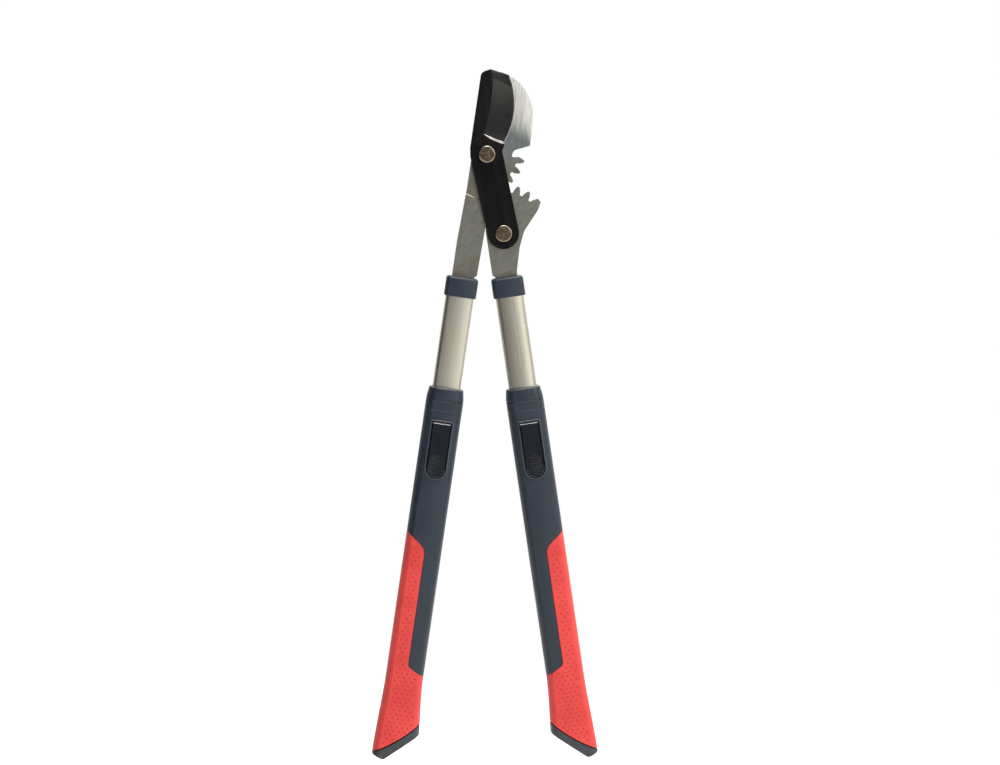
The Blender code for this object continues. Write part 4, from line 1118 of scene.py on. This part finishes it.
def tube():
    shape = tube_form(0, TUBE_TOP, TUBE_END)
    # The bore's walls take a painted shade, dark inside the tube.
    combine(shape, tube_form(-TUBE_WALL, TUBE_TOP - CUT_ROOM, TUBE_END + CUT_ROOM, [1]))
    for index in range(LOCK_HOLES):
        at = MOUTH + FIRST_LOCK_HOLE + index * LOCK_PITCH
        combine(shape, rod((0, -at), LOCK_HOLE_RADIUS, -TUBE_DEPTH, 0))
    return combine(shape, rod((0, -RIVET_AT), RIVET_RADIUS, -TUBE_DEPTH, TUBE_DEPTH))


def mouth_ring(side):
    stations = round_over(MOUTH_ROUND)
    stations += [(MOUTH_RING_LENGTH * part / 8, 0) for part in range(2, 8)]
    stations.append((MOUTH_RING_LENGTH - JOINT_GROOVE, 0))
    stations.append((MOUTH_RING_LENGTH - GROOVE_SLANT, JOINT_GROOVE))
    # The top of the rounding takes a painted highlight.
    bands = [int(along < MOUTH_ROUND / 3) for along, inset in stations[1:]]
    shape = loft([handle_ring(side, along, inset) for along, inset in stations], bands=bands)
    beyond = MOUTH_RING_LENGTH + CUT_ROOM
    return combine(shape, tube_form(SLIDE_GAP, MOUTH - CUT_ROOM, MOUTH + beyond))


def housing(side):
    """The moulded housing: bore, button pocket with its rim, and seats for grip and cap."""
    shape = handle_body(side, MOUTH_RING_LENGTH, HANDLE_LENGTH + HOUSING_WIDTH, seam=True, cells=24)
    rim_top = -HOUSING_FRONT - RIM_HEIGHT
    beside_rim = RIM_WIDTH + RIM_GROOVE
    groove = [(beside_rim, -2 * HOUSING_FRONT), (beside_rim, RIM_GROOVE - HOUSING_FRONT)]
    combine(shape, around_button(side, BUTTON_GAP, groove))
    lip = [
        (RIM_WIDTH * 0.45, rim_top),
        (RIM_WIDTH * 0.7, rim_top + RIM_HEIGHT * 0.15),
        (RIM_WIDTH * 0.9, rim_top + RIM_HEIGHT * 0.5),
        (RIM_WIDTH, -HOUSING_FRONT),
        (RIM_WIDTH, POCKET_BED),
    ]
    # The lip's top and rounding take a painted highlight.
    combine(shape, around_button(side, BUTTON_GAP, lip, [1, 1, 1, 0]), "UNION")
    pocket = [
        (RIM_ROUND, -2 * HOUSING_FRONT),
        (RIM_ROUND, rim_top),
        (RIM_ROUND * 0.3, rim_top + RIM_ROUND * 0.3),
        (0, rim_top + RIM_ROUND),
        (0, POCKET_BED),
    ]
    combine(shape, around_button(side, BUTTON_GAP, pocket))
    combine(shape, rod(TOOTH_PLACE, TOOTH_HOLE_RADIUS, -HOUSING_FRONT, 0))
    combine(shape, tube_form(SLIDE_GAP, MOUTH, MOUTH + BORE_END))
    recess = strip(side, grip_region(SEAT_GAP))
    combine(recess, handle_body(side, 0, 2 * HANDLE_LENGTH, GRIP_THICKNESS + SEAT_GAP))
    combine(shape, recess)
    return combine(shape, strip(side, below_seat()))


def holds(outline, point):
    """Whether the point lies inside the outline."""
    inside = False
    for a, b in zip(outline, outline[1:] + outline[:1]):
        if (a[1] > point[1]) != (b[1] > point[1]):
            crossing = a[0] + (point[1] - a[1]) / (b[1] - a[1]) * (b[0] - a[0])
            inside ^= point[0] < crossing
    return inside


def dimples(side):
    """Small hollows in staggered rows over the grip's front, back and outer side."""
    region = grip_region(-3 * DIMPLE_RADIUS)
    seat = below_seat(-3 * DIMPLE_RADIUS)
    mesh = bmesh.new()

    def hollow(place, inwards):
        """A bowl into the surface at place, closed by a low cone outside it."""
        inwards = Vector(inwards) * DIMPLE_DEPTH
        across = Vector((inwards.y, -inwards.x, 0)).normalized()
        rings = []
        for wide, deep in ((1, -0.02), (0.82, 0.55), (0.45, 0.9)):
            ring = []
            for x, z in circle((0, 0), wide * DIMPLE_RADIUS, DIMPLE_SIDES):
                point = Vector(place) + across * x + Vector((0, 0, z)) + inwards * deep
                ring.append(mesh.verts.new(point))
            rings.append(ring)
        ends = [mesh.verts.new(Vector(place) + inwards * deep) for deep in (-1, 1)]
        for index in range(DIMPLE_SIDES):
            after = (index + 1) % DIMPLE_SIDES
            for near, far in zip(rings, rings[1:]):
                mesh.faces.new((near[index], near[after], far[after], far[index]))
            for end, ring in zip(ends, (rings[0], rings[-1])):
                mesh.faces.new((ring[index], ring[after], end))

    for row in range(int(HANDLE_LENGTH / DIMPLE_PITCH * 2)):
        along = HANDLE_LENGTH - row * DIMPLE_PITCH / 2
        flare = flare_at(along)
        deeper = FLARE_DEPTH * flare
        wide = HOUSING_WIDTH / 2 - HOUSING_FACET[0] - DIMPLE_RADIUS
        half = wide + (FLARE_IN + FLARE_OUT) / 2 * flare
        middle = (FLARE_OUT - FLARE_IN) / 2 * flare
        for column in range(-4, 5):
            t = (column + row % 2 / 2) * DIMPLE_COLUMN + DIMPLE_SHIFT
            point = (t, MOUTH + along)
            on_flat = -wide - FLARE_IN * flare < t < wide + FLARE_OUT * flare
            if on_flat and holds(region, point) and not holds(seat, point):
                out = deeper - HOUSING_CROWN * ((t - middle) / half) ** 2
                hollow((side * t, -HOUSING_FRONT - out, -MOUTH - along), (0, 1, 0))
                hollow((side * t, HOUSING_BACK + out, -MOUTH - along), (0, -1, 0))
        edge = HOUSING_WIDTH / 2 + FLARE_OUT * flare
        point = (edge - CUT_ROOM, MOUTH + along)
        if holds(region, point) and not holds(seat, point):
            depth = DIMPLE_COLUMN / 2 * (row % 2 - 0.5) - DIMPLE_SIDE_SHIFT
            hollow((side * edge, depth, -MOUTH - along), (-side, 0, 0))
    # The hollows are painted darker, as shade.
    for face in mesh.faces:
        face.material_index = 1
    return solid(mesh)


def grip(side):
    """The soft grip: a skin on the housing's outer side and all round its flared end."""
    shape = handle_body(side, GRIP_START - HOUSING_WIDTH, HANDLE_LENGTH + HOUSING_WIDTH, cells=42)
    combine(shape, strip(side, grip_region(0)), "INTERSECT")
    combine(shape, handle_body(side, 0, 2 * HANDLE_LENGTH, GRIP_THICKNESS))
    combine(shape, strip(side, below_seat()))
    soften(shape, GRIP_EDGE, 24, harden=False)
    return combine(shape, dimples(side))


def end_cap(side):
    """The cap, with a core that closes the groove above it, painted dark as shade in the groove."""
    body = (side, FLARE_START, HANDLE_LENGTH + HOUSING_WIDTH)
    shape = handle_body(*body)
    combine(shape, strip(side, cap_region()), "INTERSECT")
    core = handle_body(*body, CAP_GROOVE_DEPTH)
    closing = cap_seat(SEAT_GAP) + cap_seat(2 * CAP_GROOVE)[::-1]
    combine(core, strip(side, closing), "INTERSECT")
    # The core takes the button's dark plastic as painted shade.
    for face in core.data.polygons:
        face.material_index = 1
    return combine(shape, core, "UNION")


def button(side):
    """The rocker's thumb plate with arched ribs, a painted highlight on its rim's round end and top
    chamfer, and its lock tooth.
    """
    top, bottom = MOUTH + BUTTON_TOP, MOUTH + BUTTON_TOP + BUTTON_LENGTH
    thin = BUTTON_FACE + BUTTON_PLATE
    rim = [(-BUTTON_RIM, BUTTON_FACE), (0, BUTTON_FACE + BUTTON_RIM), (0, thin)]
    shape = around_button(side, 0, rim, [2, 0])
    # The rim's painted highlight stays at the round end alone.
    for face in shape.data.polygons:
        if face.center.z > BUTTON_WIDTH / 2 - bottom:
            face.material_index = 0
    # A chamfer across the top edge, painted with a highlight.
    chamfer = []
    for x in (-BUTTON_WIDTH, BUTTON_WIDTH):
        section = ((-1, -2), (1, 0), (2, 1), (-1, 1))
        chamfer.append([
            Vector((x, BUTTON_FACE + BUTTON_CHAMFER * y, -top + BUTTON_CHAMFER * z))
            for y, z in section
        ])
    combine(shape, loft(chamfer, bands=[1]))
    tooth_end = -TUBE_DEPTH / 2 - SLIDE_GAP
    combine(shape, rod(TOOTH_PLACE, TOOTH_RADIUS, thin - CUT_ROOM, tooth_end), "UNION")
    pad_half = RIB_PAD_WIDTH / 2
    pad_bottom = bottom - RIB_PAD_MARGIN
    pad_top = pad_bottom - (RIB_COUNT + 0.5) * RIB_PITCH
    for index in range(RIB_COUNT):
        at = pad_bottom - (index + 0.75) * RIB_PITCH
        short = max(0, pad_half - min(at - pad_top, pad_bottom - at))
        reach = math.sqrt(pad_half ** 2 - short ** 2)
        path = arc((-reach, -at), (reach, -at), -RIB_ARCH, LINE_STEPS)
        half = RIB_PITCH * RIB_SHARE
        rings = []
        for x, z in path:
            corners = ((z - 2 * half, -RIB_DEPTH), (z + 2 * half, -RIB_DEPTH), (z, RIB_DEPTH))
            rings.append([Vector((x, BUTTON_FACE + y, height)) for height, y in corners])
        combine(shape, loft(rings))
    return shape


def dress_handle(name):
    side = SIDES[name]
    lean = Matrix.Rotation(-side * HANDLE_TILT, 4, "Y")
    to_tool = Matrix.Translation((side * AXIS_OFFSET, 0, 0)) @ lean

    def set_in(shape, part, *materials, edge, angle=24):
        shape.data.transform(to_tool)
        dress(shape, f"{name}_{part}", *materials, edge=edge, angle=angle)

    set_in(collar(), "collar", HOUSING, edge=0.0003)
    set_in(tube(), "tube", ALUMINIUM[name], BORE_SHADE, edge=0.0002)
    set_in(mouth_ring(side), "mouth_ring", HOUSING, EDGE_HIGHLIGHT, edge=0.0004)
    set_in(housing(side), "housing", HOUSING, EDGE_HIGHLIGHT, edge=0)
    set_in(grip(side), "grip", RUBBER, DIMPLE_SHADE, edge=0, angle=32)
    set_in(end_cap(side), "end_cap", CAP, BUTTON, edge=0.0005)
    set_in(button(side), "button", BUTTON, CHAMFER_HIGHLIGHT, EDGE_HIGHLIGHT, edge=0, angle=32)


# Light, floor and camera

def area_light(name, place, target, size, power):
    data = bpy.data.lights.new(name, "AREA")
    data.shape = "RECTANGLE"
    data.size, data.size_y = size
    data.energy = power
    lamp = placed(name, data)
    lamp.location = place
    way = Vector(target) - Vector(place)
    lamp.rotation_euler = way.to_track_quat("-Z", "Y").to_euler()


def stage():
    mesh = bmesh.new()
    bmesh.ops.create_circle(mesh, cap_ends=True, segments=ROUND_SIDES, radius=FLOOR_RADIUS)
    floor = solid(mesh)
    floor.name = "floor"
    floor.location.z = FLOOR_HEIGHT
    paint = Recipe("floor_paint", 0.8)
    paint.set("Base Color", paint.mix(paint.noise(3), (0.90, 0.90, 0.90), (0.93, 0.93, 0.93)))
    paint.set("Emission Color", (1, 1, 1))
    paint.set("Emission Strength", 0.3)
    floor.data.materials.append(paint.material)


def world():
    """White to the camera. To the pieces it is dim at the front left and bright behind."""
    made = bpy.data.worlds.new("studio")
    bpy.context.scene.world = made
    made.use_nodes = True
    made.node_tree.nodes.clear()
    tree = Nodes(made.node_tree)
    way = tree.split(tree.node("ShaderNodeTexCoord", {}))
    side = tree.ramp(way[0], -0.45, 0.40, 0.05, 0.78)
    behind = tree.ramp(way[1], 0.05, 0.60, 0, 0.5)
    strength = tree.node("ShaderNodeMath", {0: side, 1: behind})
    around = tree.node("ShaderNodeBackground", {0: (1, 1, 1), 1: strength})
    seen = tree.node("ShaderNodeBackground", {0: (1, 1, 1)})
    camera_ray = tree.node("ShaderNodeLightPath", {})
    mixed = tree.node("ShaderNodeMixShader", {0: camera_ray, 1: around, 2: seen})
    tree.plug(made.node_tree.nodes.new("ShaderNodeOutputWorld").inputs[0], mixed)


def camera():
    data = bpy.data.cameras.new("camera")
    data.lens = CAMERA_LENS
    data.sensor_width = 36
    data.clip_end = 20
    made = placed("camera", data)
    turn = Matrix.Rotation(CAMERA_TURN, 3, "Z") @ Matrix.Rotation(-CAMERA_RISE, 3, "X")
    made.location = Vector(CAMERA_TARGET) + turn @ Vector((0, -CAMERA_DISTANCE, 0))
    made.rotation_euler = (math.pi / 2 - CAMERA_RISE, 0, CAMERA_TURN)
    bpy.context.scene.camera = made


hook_plate()
gear_plate()
blade_plate()
pivot_bolt("main", MAIN_PIVOT)
pivot_bolt("lower", LOWER_PIVOT)
for side_name in SIDES:
    dress_handle(side_name)
# Zinc-plated inner parts get a painted shade, dark where they show through gaps.
INNER_LOOKS = {"zinc_steel": SHADE_STEEL, "filler_plastic": FILLER}
for node, slot in SLOT_OF.items():
    if node.endswith(("washer", "lock_nut")):
        softened_node(node, ZINC, 0.00025)
    elif slot in INNER_LOOKS:
        materials = frame["nodes"][node].data.materials
        materials.clear()
        materials.append(INNER_LOOKS[slot])

stage()
world()
camera()
area_light("key", (1.7, -1.8, 1.0), (0, 0, -0.1), (1.2, 1.4), 30)
area_light("fill", (-1.6, -2.4, 0.6), (0, 0, -0.1), (1.0, 1.4), 1)
area_light("strip", (0.51, -1.42, -0.15), (0.04, 0, -0.1), (0.1, 1.2), 0.9)
area_light("top", (0.2, -0.4, 2.2), (0, 0, 0), (1.4, 0.8), 60)
area_light("back", (0.3, 2.0, 1.2), (0, 0, -0.1), (1.6, 1.0), 12)
bpy.context.scene.view_settings.view_transform = "Standard"
